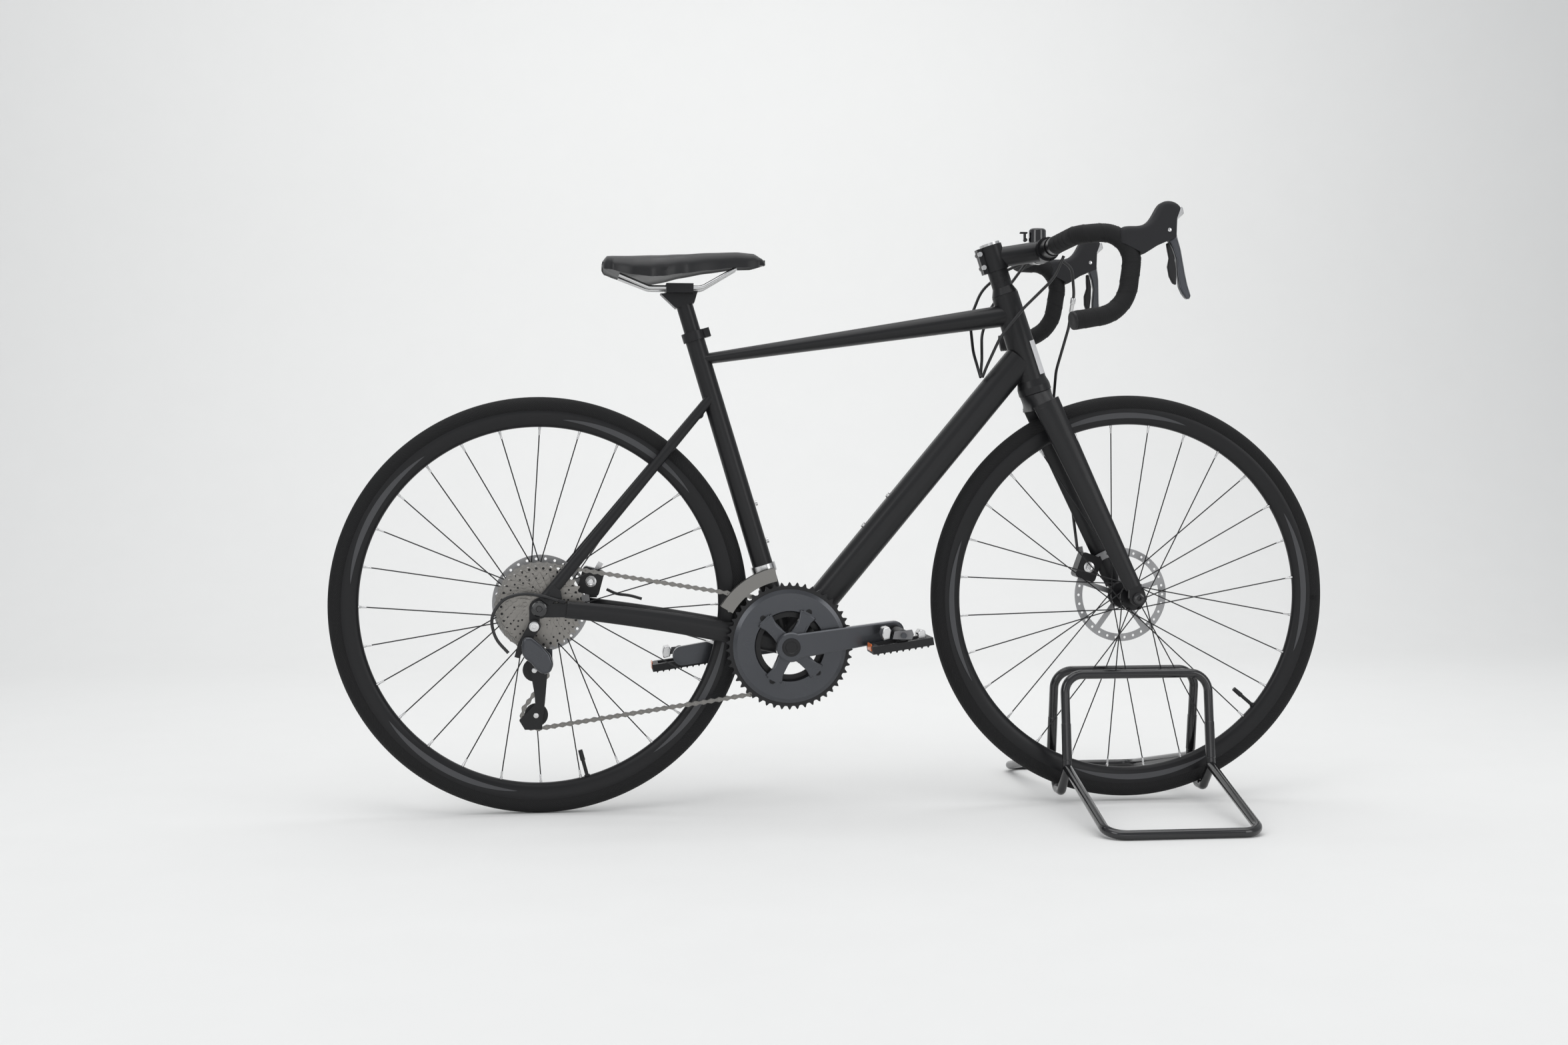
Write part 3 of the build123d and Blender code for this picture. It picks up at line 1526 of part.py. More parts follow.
cradle_flat = 14.0
with BuildPart() as stand_cradles:
    for x, offset in ((stand_rear_x, stand_back_from_axle), (stand_front_x, stand_front_from_axle)):
        height = cradle_height(offset)
        cradle_points = (
            Vector(x, -stand_joint_y, stand_joint_height),
            Vector(x, -cradle_flat, height),
            Vector(x, cradle_flat, height),
            Vector(x, stand_joint_y, stand_joint_height),
        )
        add(bent_tube(cradle_points, 12))
    add(stand_hoops.part, mode=Mode.SUBTRACT)
    add(stand_base.part, mode=Mode.SUBTRACT)
stand_base.part = Compound(children=stand_base.part.solids() + stand_cradles.part.solids())
finish("stand_base", stand_base)
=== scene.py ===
from math import acos, atan2, ceil, cos, degrees, hypot, pi, radians, sin

import bpy
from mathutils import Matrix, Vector


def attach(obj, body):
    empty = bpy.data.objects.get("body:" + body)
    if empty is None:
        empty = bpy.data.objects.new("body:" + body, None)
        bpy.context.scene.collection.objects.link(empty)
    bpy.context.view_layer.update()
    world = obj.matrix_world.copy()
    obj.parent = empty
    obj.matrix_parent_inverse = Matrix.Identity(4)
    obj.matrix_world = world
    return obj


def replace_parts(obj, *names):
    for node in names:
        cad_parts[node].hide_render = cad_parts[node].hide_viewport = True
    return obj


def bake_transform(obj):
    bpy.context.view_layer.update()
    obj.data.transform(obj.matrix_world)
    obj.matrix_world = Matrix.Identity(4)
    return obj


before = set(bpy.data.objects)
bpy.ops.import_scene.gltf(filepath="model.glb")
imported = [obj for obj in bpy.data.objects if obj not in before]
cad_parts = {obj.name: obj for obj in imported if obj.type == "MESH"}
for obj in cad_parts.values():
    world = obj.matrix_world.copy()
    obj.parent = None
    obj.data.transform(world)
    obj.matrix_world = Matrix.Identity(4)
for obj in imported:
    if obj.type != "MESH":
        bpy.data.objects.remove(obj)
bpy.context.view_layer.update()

# Places in the row's frame, in metres: the axles, the bottom bracket and the middle of the bar.
REAR_X, FRONT_X = -0.49095, 0.49095
REAR = Vector((REAR_X, 0, 0.338))
FRONT = Vector((FRONT_X, 0, 0.3452))
BB = Vector((REAR_X + 0.4021, 0, 0.2718))
BAR = Vector((0.34540, 0, 0.92404))
X = Vector((1, 0, 0))
Y = Vector((0, 1, 0))
Z = Vector((0, 0, 1))
SIDES = ((-1, "right"), (1, "left"))


def at(x, y, z):
    """A place in millimetres ahead of the rear axle, to the left and above the floor."""
    return Vector((REAR_X + x / 1000, y / 1000, z / 1000))


def polar(angle, radius, y=0.0):
    """A step of a radius at an angle in the wheels' plane, and y to the left."""
    return Vector((radius * cos(angle), y, radius * sin(angle)))


# ---------------------------------------------------------------- materials
def node(tree, kind, **values):
    made = tree.nodes.new(kind)
    for key, value in values.items():
        setattr(made, key, value)
    return made


def material(
    name, colour, rough, metal=0.0, speck=0.02, grain=600.0, bump=0.05, coat=0.0, smudge=0.08, spec=0.5
):
    """A principled surface with its own fine grain, uneven gloss and slight colour change."""
    made = bpy.data.materials.new(name)
    made.use_nodes = True
    tree = made.node_tree
    shader = tree.nodes["Principled BSDF"]
    shader.inputs["Metallic"].default_value = metal
    shader.inputs["Specular IOR Level"].default_value = spec
    shader.inputs["Coat Weight"].default_value = coat
    shader.inputs["Coat Roughness"].default_value = 0.12
    place = node(tree, "ShaderNodeTexCoord")
    fine = node(tree, "ShaderNodeTexNoise")
    fine.inputs["Scale"].default_value = grain
    fine.inputs["Detail"].default_value = 3.0
    broad = node(tree, "ShaderNodeTexNoise")
    broad.inputs["Scale"].default_value = 9.0
    broad.inputs["Detail"].default_value = 5.0
    tree.links.new(place.outputs["Object"], fine.inputs["Vector"])
    tree.links.new(place.outputs["Object"], broad.inputs["Vector"])
    tone = node(tree, "ShaderNodeMix", data_type="RGBA")
    tone.inputs["A"].default_value = (*[c * (1 - speck * 4) for c in colour], 1)
    tone.inputs["B"].default_value = (*[min(1, c * (1 + speck * 4)) for c in colour], 1)
    tree.links.new(broad.outputs["Fac"], tone.inputs["Factor"])
    tree.links.new(tone.outputs["Result"], shader.inputs["Base Color"])
    gloss = node(tree, "ShaderNodeMapRange")
    gloss.inputs["To Min"].default_value = max(0.03, rough - smudge)
    gloss.inputs["To Max"].default_value = min(1, rough + smudge)
    tree.links.new(broad.outputs["Fac"], gloss.inputs["Value"])
    tree.links.new(gloss.outputs["Result"], shader.inputs["Roughness"])
    relief = node(tree, "ShaderNodeBump")
    relief.inputs["Strength"].default_value = bump
    relief.inputs["Distance"].default_value = 0.0004
    tree.links.new(fine.outputs["Fac"], relief.inputs["Height"])
    tree.links.new(relief.outputs["Normal"], shader.inputs["Normal"])
    return made


PAINT = material("matte_black_paint", (0.008, 0.008, 0.009), 0.42, grain=2500, bump=0.06, coat=0.1, spec=0.3)
GLOSS = material(
    "gloss_black_paint", (0.006, 0.006, 0.007), 0.13, grain=900, bump=0.01, coat=0.6, smudge=0.03
)
ANODISED = material(
    "black_anodised", (0.008, 0.008, 0.009), 0.34, metal=0.2, grain=2200, bump=0.08, spec=0.42
)
CRANK = material("dark_grey_alloy", (0.06, 0.063, 0.07), 0.26, metal=0.8, grain=1500, bump=0.03, coat=0.3)
SILVER = material("polished_alloy", (0.62, 0.62, 0.62), 0.24, metal=1.0, grain=1800, bump=0.04)
STEEL = material("plated_steel", (0.2, 0.195, 0.185), 0.3, metal=1.0, grain=1500, bump=0.06)
NICKEL = material("nickel_sprocket", (0.24, 0.23, 0.215), 0.32, metal=1.0, grain=1400, bump=0.08)
ROTOR = material("ground_rotor", (0.34, 0.34, 0.345), 0.34, metal=1.0, grain=2600, bump=0.2)
RIM = material("rim_satin_black", (0.006, 0.006, 0.007), 0.38, grain=2400, bump=0.06, spec=0.32)
TYRE = material("tyre_rubber", (0.011, 0.011, 0.0115), 0.7, grain=1800, bump=0.3, spec=0.22)
RUBBER = material("hood_rubber", (0.018, 0.018, 0.02), 0.6, grain=3200, bump=0.35, spec=0.25)
TAPE = material("bar_tape_cork", (0.012, 0.012, 0.0125), 0.66, grain=2600, bump=0.45, spec=0.22)
SKIN = material("saddle_skin", (0.008, 0.008, 0.009), 0.38, grain=2200, bump=0.25, coat=0.05, spec=0.4)
PLASTIC = material("moulded_plastic", (0.009, 0.009, 0.01), 0.44, grain=2600, bump=0.2, spec=0.35)
JACKET = material("cable_jacket", (0.01, 0.01, 0.011), 0.3, grain=1200, bump=0.03)
ENAMEL = material("stand_enamel", (0.008, 0.008, 0.009), 0.17, grain=700, bump=0.03, coat=0.4)
GREY = material("grey_coating", (0.16, 0.16, 0.165), 0.5, grain=1800, bump=0.12)
LABEL = material("blank_label", (0.62, 0.62, 0.63), 0.45, grain=1500, bump=0.03)
ORANGE = material("orange_reflector", (0.75, 0.16, 0.02), 0.2, grain=900, bump=0.2)
SWOOSH = material("dark_grey_print", (0.045, 0.046, 0.05), 0.42, grain=2000, bump=0.04)

WORN = {
    PAINT: "head_tube top_tube down_tube seat_tube seatstays chainstays fork",
    ANODISED: "seat_clamp bottom_bracket seatpost headset stem handlebar front_hub rear_hub"
    " front_caliper rear_caliper rd_cage rd_bracket",
    GLOSS: "bell",
    CRANK: "crank_right crank_left rd_link rd_knuckle brake_lever_left brake_lever_right",
    SILVER: "stem_bolts bottle_bolts front_derailleur front_caliper_arm rear_caliper_arm saddle_rails",
    STEEL: "fd_cage chain front_spokes rear_spokes",
    NICKEL: "cassette",
    ROTOR: "front_rotor rear_rotor",
    RIM: "front_rim rear_rim",
    TYRE: "front_tyre rear_tyre",
    RUBBER: "hoods",
    TAPE: "bar_tape",
    SKIN: "saddle_cover",
    PLASTIC: "saddle_shell pedal_left pedal_right shift_paddle_left shift_paddle_right bell_lever"
    " rd_guide_pulley rd_tension_pulley chainrings",
    JACKET: "front_brake_cable bar_cables rear_cables",
    ENAMEL: "stand_hoops stand_base",
}
for worn, names in WORN.items():
    for name in names.split():
        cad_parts[name].data.materials.clear()
        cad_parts[name].data.materials.append(worn)


# ---------------------------------------------------------------- shapes
def shape(name, verts, faces, worn, body=None, sharp=35, uvs=None):
    """A mesh piece that moves with a body. Edges steeper than sharp degrees stay crisp."""
    mesh = bpy.data.meshes.new(name)
    mesh.from_pydata([tuple(v) for v in verts], [], faces)
    made = bpy.data.objects.new(name, mesh)
    bpy.context.scene.collection.objects.link(made)
    mesh.materials.append(worn)
    for face in mesh.polygons:
        face.use_smooth = True
    mesh.set_sharp_from_angle(angle=radians(sharp))
    if uvs:
        layer = mesh.uv_layers.new(name="UVMap")
        for loop in mesh.loops:
            layer.data[loop.index].uv = uvs[loop.vertex_index]
    if body:
        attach(made, body)
    return made


class Pile:
    """Several shapes kept in one mesh."""

    def __init__(self):
        self.verts = []
        self.faces = []

    def add(self, solid):
        verts, faces = solid
        first = len(self.verts)
        self.verts.extend(verts)
        self.faces.extend(tuple(i + first for i in face) for face in faces)

    def make(self, name, worn, body, sharp=35):
        return shape(name, self.verts, self.faces, worn, body, sharp)


def sweep(points, radius, sides=14):
    """A tube through points; radius is a number or a function of length and angle."""
    verts, faces = [], []
    up = None
    run = 0.0
    for i, point in enumerate(points):
        ahead = points[min(i + 1, len(points) - 1)] - points[max(i - 1, 0)]
        ahead.normalize()
        if up is None:
            up = ahead.orthogonal().normalized()
        up = (up - ahead * up.dot(ahead)).normalized()
        side = ahead.cross(up)
        if i:
            run += (point - points[i - 1]).length
        for k in range(sides):
            angle = 2 * pi * k / sides
            r = radius(run, angle) if callable(radius) else radius
            verts.append(point + (up * cos(angle) + side * sin(angle)) * r)
    for i in range(len(points) - 1):
        for k in range(sides):
            n = (k + 1) % sides
            faces.append((i * sides + k, i * sides + n, (i + 1) * sides + n, (i + 1) * sides + k))
    faces.append(tuple(reversed(range(sides))))
    faces.append(tuple(range((len(points) - 1) * sides, len(points) * sides)))
    return verts, faces


def rod(a, b, radius, sides=14):
    return sweep([Vector(a), Vector(b)], radius, sides)


def lathe(centre, axis, profile, count=48):
    """A solid turned about an axis from (distance along it, radius) corners, closed at both ends."""
    axis = Vector(axis).normalized()
    u = axis.orthogonal().normalized()
    v = axis.cross(u)
    verts, faces = [], []
    for along, r in profile:
        for k in range(count):
            angle = 2 * pi * k / count
            verts.append(centre + axis * along + (u * cos(angle) + v * sin(angle)) * r)
    for i in range(len(profile) - 1):
        for k in range(count):
            n = (k + 1) % count
            faces.append((i * count + k, i * count + n, (i + 1) * count + n, (i + 1) * count + k))
    faces.append(tuple(reversed(range(count))))
    faces.append(tuple(range((len(profile) - 1) * count, len(profile) * count)))
    return verts, faces


def ring_lathe(centre, section, count=192):
    """A ring about an axle from a closed loop of (radius, y) corners, with texture space along it."""
    size = len(section)
    verts, faces, uvs = [], [], []
    for k in range(count):
        angle = 2 * pi * k / count
        for i, (r, y) in enumerate(section):
            verts.append(centre + polar(angle, r, y))
            uvs.append((k / count, i / size))
    for k in range(count):
        n = (k + 1) % count
        for i in range(size):
            j = (i + 1) % size
            faces.append((k * size + i, n * size + i, n * size + j, k * size + j))
    return verts, faces, uvs


def slab(outline, origin, x_dir, y_dir, thickness):
    """A flat plate from an outline, its middle on the origin's plane."""
    x_dir, y_dir = Vector(x_dir).normalized(), Vector(y_dir).normalized()
    normal = x_dir.cross(y_dir)
    flat = [origin + x_dir * x + y_dir * y for x, y in outline]
    size = len(flat)
    verts = [p - normal * thickness / 2 for p in flat] + [p + normal * thickness / 2 for p in flat]
    faces = [(i, (i + 1) % size, size + (i + 1) % size, size + i) for i in range(size)]
    faces.append(tuple(reversed(range(size))))
    faces.append(tuple(range(size, 2 * size)))
    return verts, faces


def upright_slab(line, y, thickness):
    """A plate in the wheels' plane from (ahead of the rear axle, above the floor) in millimetres."""
    outline = [(x / 1000, z / 1000) for x, z in line]
    return slab(outline, Vector((REAR_X, y, 0)), X, Z, thickness)


def rounded(points, radii):
    """Straight runs with a true arc at each corner."""
    path = [points[0]]
    for before, corner, after, radius in zip(points, points[1:], points[2:], radii):
        u = (before - corner).normalized()
        v = (after - corner).normalized()
        half = u.angle(v) / 2
        turn = pi - 2 * half
        if turn < 0.02:
            path.append(corner)
            continue
        centre = corner + (u + v).normalized() * (radius / sin(half))
        a = corner + u * (radius * cos(half) / sin(half)) - centre
        b = corner + v * (radius * cos(half) / sin(half)) - centre
        steps = max(3, ceil(degrees(turn) / 5))
        for k in range(steps + 1):
            share = k / steps
            path.append(centre + (a * sin((1 - share) * turn) + b * sin(share * turn)) / sin(turn))
    path.append(points[-1])
    return path


def even(path, step):
    """The same path with points a fixed step apart."""
    spots, left_over = [path[0]], step
    for a, b in zip(path, path[1:]):
        run = (b - a).length
        along = left_over
        while along < run:
            spots.append(a.lerp(b, along / run))
            along += step
        left_over = along - run
    if (spots[-1] - path[-1]).length < step / 2:
        spots.pop()
    spots.append(path[-1])
    return spots


# ---------------------------------------------------------------- wheels
def tread_material(base):
    """Tyre rubber with a fine file pattern across the crown."""
    made = base.copy()
    made.name = "tyre_tread"
    tree = made.node_tree
    place = node(tree, "ShaderNodeUVMap")
    scale = node(tree, "ShaderNodeVectorMath", operation="MULTIPLY")
    scale.inputs[1].default_value = (300.0, 14.0, 1.0)
    wave = node(tree, "ShaderNodeTexWave", bands_direction="DIAGONAL")
    wave.inputs["Scale"].default_value = 1.0
    wave.inputs["Distortion"].default_value = 0.4
    relief = node(tree, "ShaderNodeBump")
    relief.inputs["Strength"].default_value = 0.6
    relief.inputs["Distance"].default_value = 0.0008
    shader = tree.nodes["Principled BSDF"]
    before = shader.inputs["Normal"].links[0].from_socket
    tree.links.new(place.outputs["UV"], scale.inputs[0])
    tree.links.new(scale.outputs["Vector"], wave.inputs["Vector"])
    tree.links.new(wave.outputs["Fac"], relief.inputs["Height"])
    tree.links.new(before, relief.inputs["Normal"])
    tree.links.new(relief.outputs["Normal"], shader.inputs["Normal"])
    return made


TREAD = tread_material(TYRE)
TYRE_MIDDLE, TYRE_HALF = 0.324, 0.0139
BEAD_R, BEAD_HALF = 0.3172, 0.0118
tyre_section = [(BEAD_R, -BEAD_HALF), (BEAD_R, BEAD_HALF)]
for number in range(21):
    lean = radians(-38 + 12.8 * number)
    tyre_section.append((TYRE_MIDDLE + TYRE_HALF * sin(lean), TYRE_HALF * cos(lean)))
rim_wall = [
    (0.3165, 0.0108), (0.3155, 0.0112), (0.3095, 0.0110), (0.3000, 0.0098), (0.2940, 0.0076),
    (0.2904, 0.0046), (0.2892, 0.0018),
]
rim_section = [(0.3165, -0.0108), *rim_wall, *[(r, -y) for r, y in reversed(rim_wall[1:])]]

PRINT_R, PRINT_WIDTH, PRINT_SPREAD = 0.3028, 0.0062, 46
SPOKES, SPOKE_LEAN = 28, radians(62)
FLANGE_R, NIPPLE_R = 0.021, 0.2886
VALVE_FOOT_R = 0.2896


def swoosh(centre, middle, side):
    """A thin printed crescent on the rim's side wall."""
    verts, faces = [], []
    steps = 36
    for k in range(steps + 1):
        share = k / steps
        angle = radians(middle + PRINT_SPREAD * (share - 0.5))
        width = PRINT_WIDTH * sin(pi * share) ** 0.7
        for r in (PRINT_R - width * 0.5, PRINT_R + width):
            wall = 0.0113 if r > 0.305 else 0.0101 + (r - 0.300) * 0.15
            verts.append(centre + polar(angle, r, side * (wall + 0.0002)))
    for k in range(steps):
        faces.append((2 * k, 2 * k + 1, 2 * k + 3, 2 * k + 2))
    return verts, faces


def dress_wheel(name, centre, flanges, phase, valve):
    """Tyre, rim, prints, spokes, nipples and valve; flanges are the hub's (right, left) y."""
    body = f"{name}_wheel"
    verts, faces, uvs = ring_lathe(centre, tyre_section, 256)
    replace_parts(shape(f"{name}_tyre_skin", verts, faces, TREAD, body, 60, uvs), f"{name}_tyre")
    verts, faces, uvs = ring_lathe(centre, rim_section, 256)
    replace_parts(shape(f"{name}_rim_skin", verts, faces, RIM, body, 50, uvs), f"{name}_rim")
    prints, wires, nipples = Pile(), Pile(), Pile()
    for number in range(4):
        for side in (-1, 1):
            prints.add(swoosh(centre, valve + 45 + 90 * number, side))
    prints.make(f"{name}_rim_prints", SWOOSH, body)
    elbow = [(-0.0052, 0.0013), (0.0008, 0.0013), (0.0014, 0.0021), (0.0022, 0.0016)]
    nipple = [(0, 0.0013), (0.0012, 0.0017), (0.0085, 0.0017), (0.0090, 0.0022), (0.0132, 0.0022)]
    for number in range(SPOKES):
        y = flanges[number % 2]
        sign = 1 if y > 0 else -1
        lean = 1 if (number // 2) % 2 else -1
        rim_angle = radians(phase + 360 / SPOKES * number)
        foot = centre + polar(rim_angle + lean * SPOKE_LEAN, FLANGE_R, y + 0.0032 * sign)
        head = centre + polar(rim_angle, NIPPLE_R, 0.0015 * sign)
        run = (head - foot).normalized()
        wires.add(rod(foot, head, 0.0010, 10))
        wires.add(lathe(foot, Y * sign, elbow, 12))
        nipples.add(lathe(head - run * 0.0125, run, nipple, 12))
    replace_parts(wires.make(f"{name}_spoke_wires", ANODISED, body), f"{name}_spokes")
    nipples.make(f"{name}_nipples", SILVER, body)
    inward = -polar(radians(valve), 1)
    turned = [
        (0, 0.0046), (0.0022, 0.0046), (0.0024, 0.0030), (0.026, 0.0030), (0.027, 0.0040), (0.044, 0.0036),
    ]
    tube = lathe(centre - inward * VALVE_FOOT_R, inward, turned, 20)
    shape(f"{name}_valve", *tube, PLASTIC, body)


dress_wheel("front", FRONT, (-0.029, 0.022), 6.0, -40.5)
dress_wheel("rear", REAR, (-0.0195, 0.032), 0.0, -75.0)

# ---------------------------------------------------------------- chain
PITCH = 0.0127
RING_TEETH, BIG_RING_TEETH, PULLEY_TEETH = 34, 50, 11


def pitch_radius(teeth):
    return PITCH / (2 * sin(pi / teeth))


def flat_angle(centre, point):
    return atan2(point.z - centre.z, point.x - centre.x)


def open_tangent(c1, r1, c2, r2, sign):
    """Where a straight run leaves one circle and meets the next on the same side of both."""
    gap = c2 - c1
    angle = atan2(gap.z, gap.x) + sign * acos((r1 - r2) / hypot(gap.x, gap.z))
    spoke = polar(angle, 1)
    return c1 + spoke * r1, c2 + spoke * r2


def crossed_tangent(c1, r1, c2, r2, sign):
    """The same, for a run that crosses from one side to the other."""
    gap = c2 - c1
    angle = atan2(gap.z, gap.x) + sign * acos((r1 + r2) / hypot(gap.x, gap.z))
    spoke = polar(angle, 1)
    return c1 + spoke * r1, c2 - spoke * r2


def arc(centre, radius, first, last):
    """Points about a centre from one angle to the other, in radians."""
    steps = max(2, ceil(abs(last - first) / 0.04))
    spots = [first + (last - first) * k / steps for k in range(steps + 1)]
    return [centre + polar(a, radius) for a in spots]


ring_r, pulley_r = pitch_radius(RING_TEETH), pitch_radius(PULLEY_TEETH)
cog = REAR + Vector((0, -0.028, 0))
ring = BB + Vector((0, -0.041, 0))
guide = at(-9, -28, 236)
tension = at(-6.5, -28, 163.2)
top_rear, top_front = open_tangent(cog, ring_r, ring, ring_r, 1)
low_rear, low_front = open_tangent(tension, pulley_r, ring, ring_r, -1)
cog_leave, guide_meet = crossed_tangent(cog, ring_r, guide, pulley_r, -1)
guide_leave, tension_meet = crossed_tangent(guide, pulley_r, tension, pulley_r, 1)


def turn_between(centre, a, b):
    """Angles from a to b about a centre, counter-clockwise seen from the right."""
    first, last = flat_angle(centre, a), flat_angle(centre, b)
    while last < first:
        last += 2 * pi
    return first, last


loop = arc(cog, ring_r, *turn_between(cog, top_rear, cog_leave))
loop += arc(guide, pulley_r, *reversed(turn_between(guide, guide_leave, guide_meet)))
loop += arc(tension, pulley_r, *turn_between(tension, tension_meet, low_rear))
loop += arc(ring, ring_r, *turn_between(ring, low_front, top_front))
loop.append(loop[0])
loop_length = sum((b - a).length for a, b in zip(loop, loop[1:]))
link_count = 2 * round(loop_length / PITCH / 2)
chain_pins = even(loop, loop_length / link_count)[:link_count]


def link_plate(a, b, height, thickness, y):
    """One figure-of-eight side plate between two pins."""
    along = (b - a).normalized()
    up = along.cross(Y).normalized()
    run = (b - a).length
    outline = []
    for k in range(9):
        turn = radians(120 - 30 * k)
        outline.append((run + height * cos(turn), height * sin(turn)))
    outline.append((run / 2, -height * 0.5))
    for k in range(9):
        turn = radians(-60 - 30 * k)
        outline.append((height * cos(turn), height * sin(turn)))
    outline.append((run / 2, height * 0.5))
    return slab(outline, a + Y * y, along, up, thickness)


plates, rollers = Pile(), Pile()
rivet = [(0, 0.0013), (0.0003, 0.0018), (0.0071, 0.0018), (0.0074, 0.0013)]
for number, pin in enumerate(chain_pins):
    after = chain_pins[(number + 1) % len(chain_pins)]
    height, thickness, y = (0.0040, 0.0009, 0.0030) if number % 2 else (0.0039, 0.0008, 0.0020)
    for side in (-1, 1):
        plates.add(link_plate(pin, after, height, thickness, side * y))
    rollers.add(rod(pin - Y * 0.0016, pin + Y * 0.0016, 0.0037, 16))
    rollers.add(lathe(pin - Y * 0.0037, Y, rivet, 12))
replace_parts(plates.make("chain_plates", STEEL, "frame"), "chain")
rollers.make("chain_rollers", NICKEL, "frame")

# ---------------------------------------------------------------- handlebar tape
TAPE_R, LAP, RIB = 0.01435, 0.024, 0.003
TAPE_START = 0.062


def bar_corners(side):
    """The corners of half the handlebar, from its middle to the end of the drop."""
    return [
        BAR.copy(),
        Vector((BAR.x, side * 0.204, BAR.z + 0.001)),
        Vector((BAR.x + 0.088, side * 0.214, BAR.z + 0.004)),
        Vector((BAR.x + 0.069, side * 0.222, BAR.z - 0.122)),
        Vector((BAR.x - 0.016, side * 0.237, BAR.z - 0.137)),
    ]


def tape_radius(side):
    """Wrapped tape: a raised lap every turn, and fine ribs along it."""

    def at_angle(run, angle):
        lap = ((run + side * angle / (2 * pi) * LAP) / LAP) % 1
        rise = 0.0009 * max(0, 1 - lap * 6) + 0.0004 * lap
        rib = 0.00022 * sin(2 * pi * run / RIB)
        return TAPE_R + rise + rib

    return at_angle


plug = [(-0.001, 0.0140), (0.0020, 0.0146), (0.0036, 0.0140), (0.0042, 0.0115), (0.0036, 0.0060)]
finish = [(0, 0.0140), (0.001, 0.0149), (0.015, 0.0150), (0.016, 0.0142)]
for side, word in SIDES:
    bar_line = even(rounded(bar_corners(side), [0.038, 0.045, 0.060]), 0.0010)
    bar_line = [p for p in bar_line if abs(p.y) > TAPE_START]
    tape = shape(f"tape_wrap_{word}", *sweep(bar_line, tape_radius(side), 32), TAPE, "steering", 70)
    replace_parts(tape, "bar_tape")
    out = (bar_line[-1] - bar_line[-4]).normalized()
    shape(f"bar_plug_{word}", *lathe(bar_line[-1], out, plug, 32), PLASTIC, "steering")
    collar = lathe(Vector((BAR.x, side * 0.0605, BAR.z)), Y * side, finish, 40)
    shape(f"tape_finish_{word}", *collar, JACKET, "steering")


# ---------------------------------------------------------------- cables
def cable_path(points):
    radii = []
    for before, corner, after in zip(points, points[1:], points[2:]):
        turn = (corner - before).angle(after - corner)
        shorter = min((corner - before).length, (after - corner).length)
        radii.append(min(0.070, 0.45 * shorter * cos(turn / 2) / sin(turn / 2)))
    return even(rounded(points, radii), 0.004)


def hose(name, route, body=None):
    """A jacketed cable through a route in millimetres."""
    return shape(name, *sweep(cable_path([at(*p) for p in route]), 0.0025, 16), JACKET, body)


bar_routes = (
    ((852, -62, 908), (838, -54, 872), (790, -44, 824), (752, -38, 776), (734, -20, 730), (729, -9, 712)),
    ((822, 52, 912), (782, 62, 896), (742, 58, 862), (720, 48, 812), (722, 30, 756), (728, 0, 712)),
    ((826, 78, 914), (800, 74, 880), (760, 60, 836), (740, 46, 786), (736, 26, 744), (730, 9, 713)),
)
for number, route in enumerate(bar_routes):
    made = hose(f"bar_hose_{number + 1}", route)
    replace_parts(made, "bar_cables")
    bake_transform(made)
fork_route = (
    (858, -30, 904), (876, -26, 892), (883, -14, 850), (880, 8, 796), (866, 34, 726),
    (868, 60, 668), (884, 70, 600), (902, 70, 520), (908, 62, 455), (910, 52, 420),
)
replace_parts(hose("front_brake_hose", fork_route, "steering"), "front_brake_cable")
barrel = [
    (0, 0.003), (0.002, 0.0044), (0.010, 0.0044), (0.011, 0.0036), (0.024, 0.0036), (0.026, 0.0028),
]
adjuster = lathe(at(882.6, -12, 845), at(880, 4, 806) - at(883, -13, 848), barrel, 18)
shape("brake_adjuster", *adjuster, SILVER, "steering")
shift_route = (
    (34, -81, 350), (8, -82, 358), (-24, -88, 364), (-56, -92, 356), (-76, -93, 326), (-68, -93, 292),
    (-48, -91, 270),
)
made = hose("rear_shift_hose", shift_route)
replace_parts(made, "rear_cables")
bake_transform(made)
brake_route = ((166, 45, 344), (146, 46, 350), (124, 49, 352), (108, 51, 360))
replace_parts(hose("rear_brake_hose", brake_route, "frame"), "rear_cables")
ferrule_foot = at(30, -81.1, 351)
ferrule = [(0, 0.0026), (0.0005, 0.0032), (0.011, 0.0032), (0.012, 0.002)]
ferrule_end = lathe(ferrule_foot, at(38, -80.8, 348.8) - ferrule_foot, ferrule, 16)
shape("shift_hose_end", *ferrule_end, ANODISED, "frame")


# ---------------------------------------------------------------- saddle
def between(table, x):
    """A smooth value from a table of (x, value) rows."""
    for (x0, v0), (x1, v1) in zip(table, table[1:]):
        if x <= x1:
            t = max(0, min(1, (x - x0) / (x1 - x0)))
            return v0 + (v1 - v0) * (t * t * (3 - 2 * t) * 0.5 + t * 0.5)
    return table[-1][1]


# Rows of (x, value) in millimetres: the cushion's top, its lower edge and its half width.
TOP_LINE = (
    (100.5, 888), (103, 897), (109, 903.4), (142, 903.6), (186, 905.6), (231, 908.6), (275, 911.8),
    (320, 913.6), (347, 911.5), (362, 903.5), (367, 895),
)
LOW_LINE = (
    (100.5, 884), (104, 879), (147, 868), (179, 865.5), (197, 867.5), (229, 874), (273, 881),
    (317, 886.5), (342, 887), (367, 893),
)
WIDTH_LINE = (
    (100.5, 30), (104, 45), (118, 62), (150, 71), (178, 68), (210, 50), (240, 34), (290, 23.5),
    (335, 19.5), (356, 15), (364, 9), (367, 4),
)


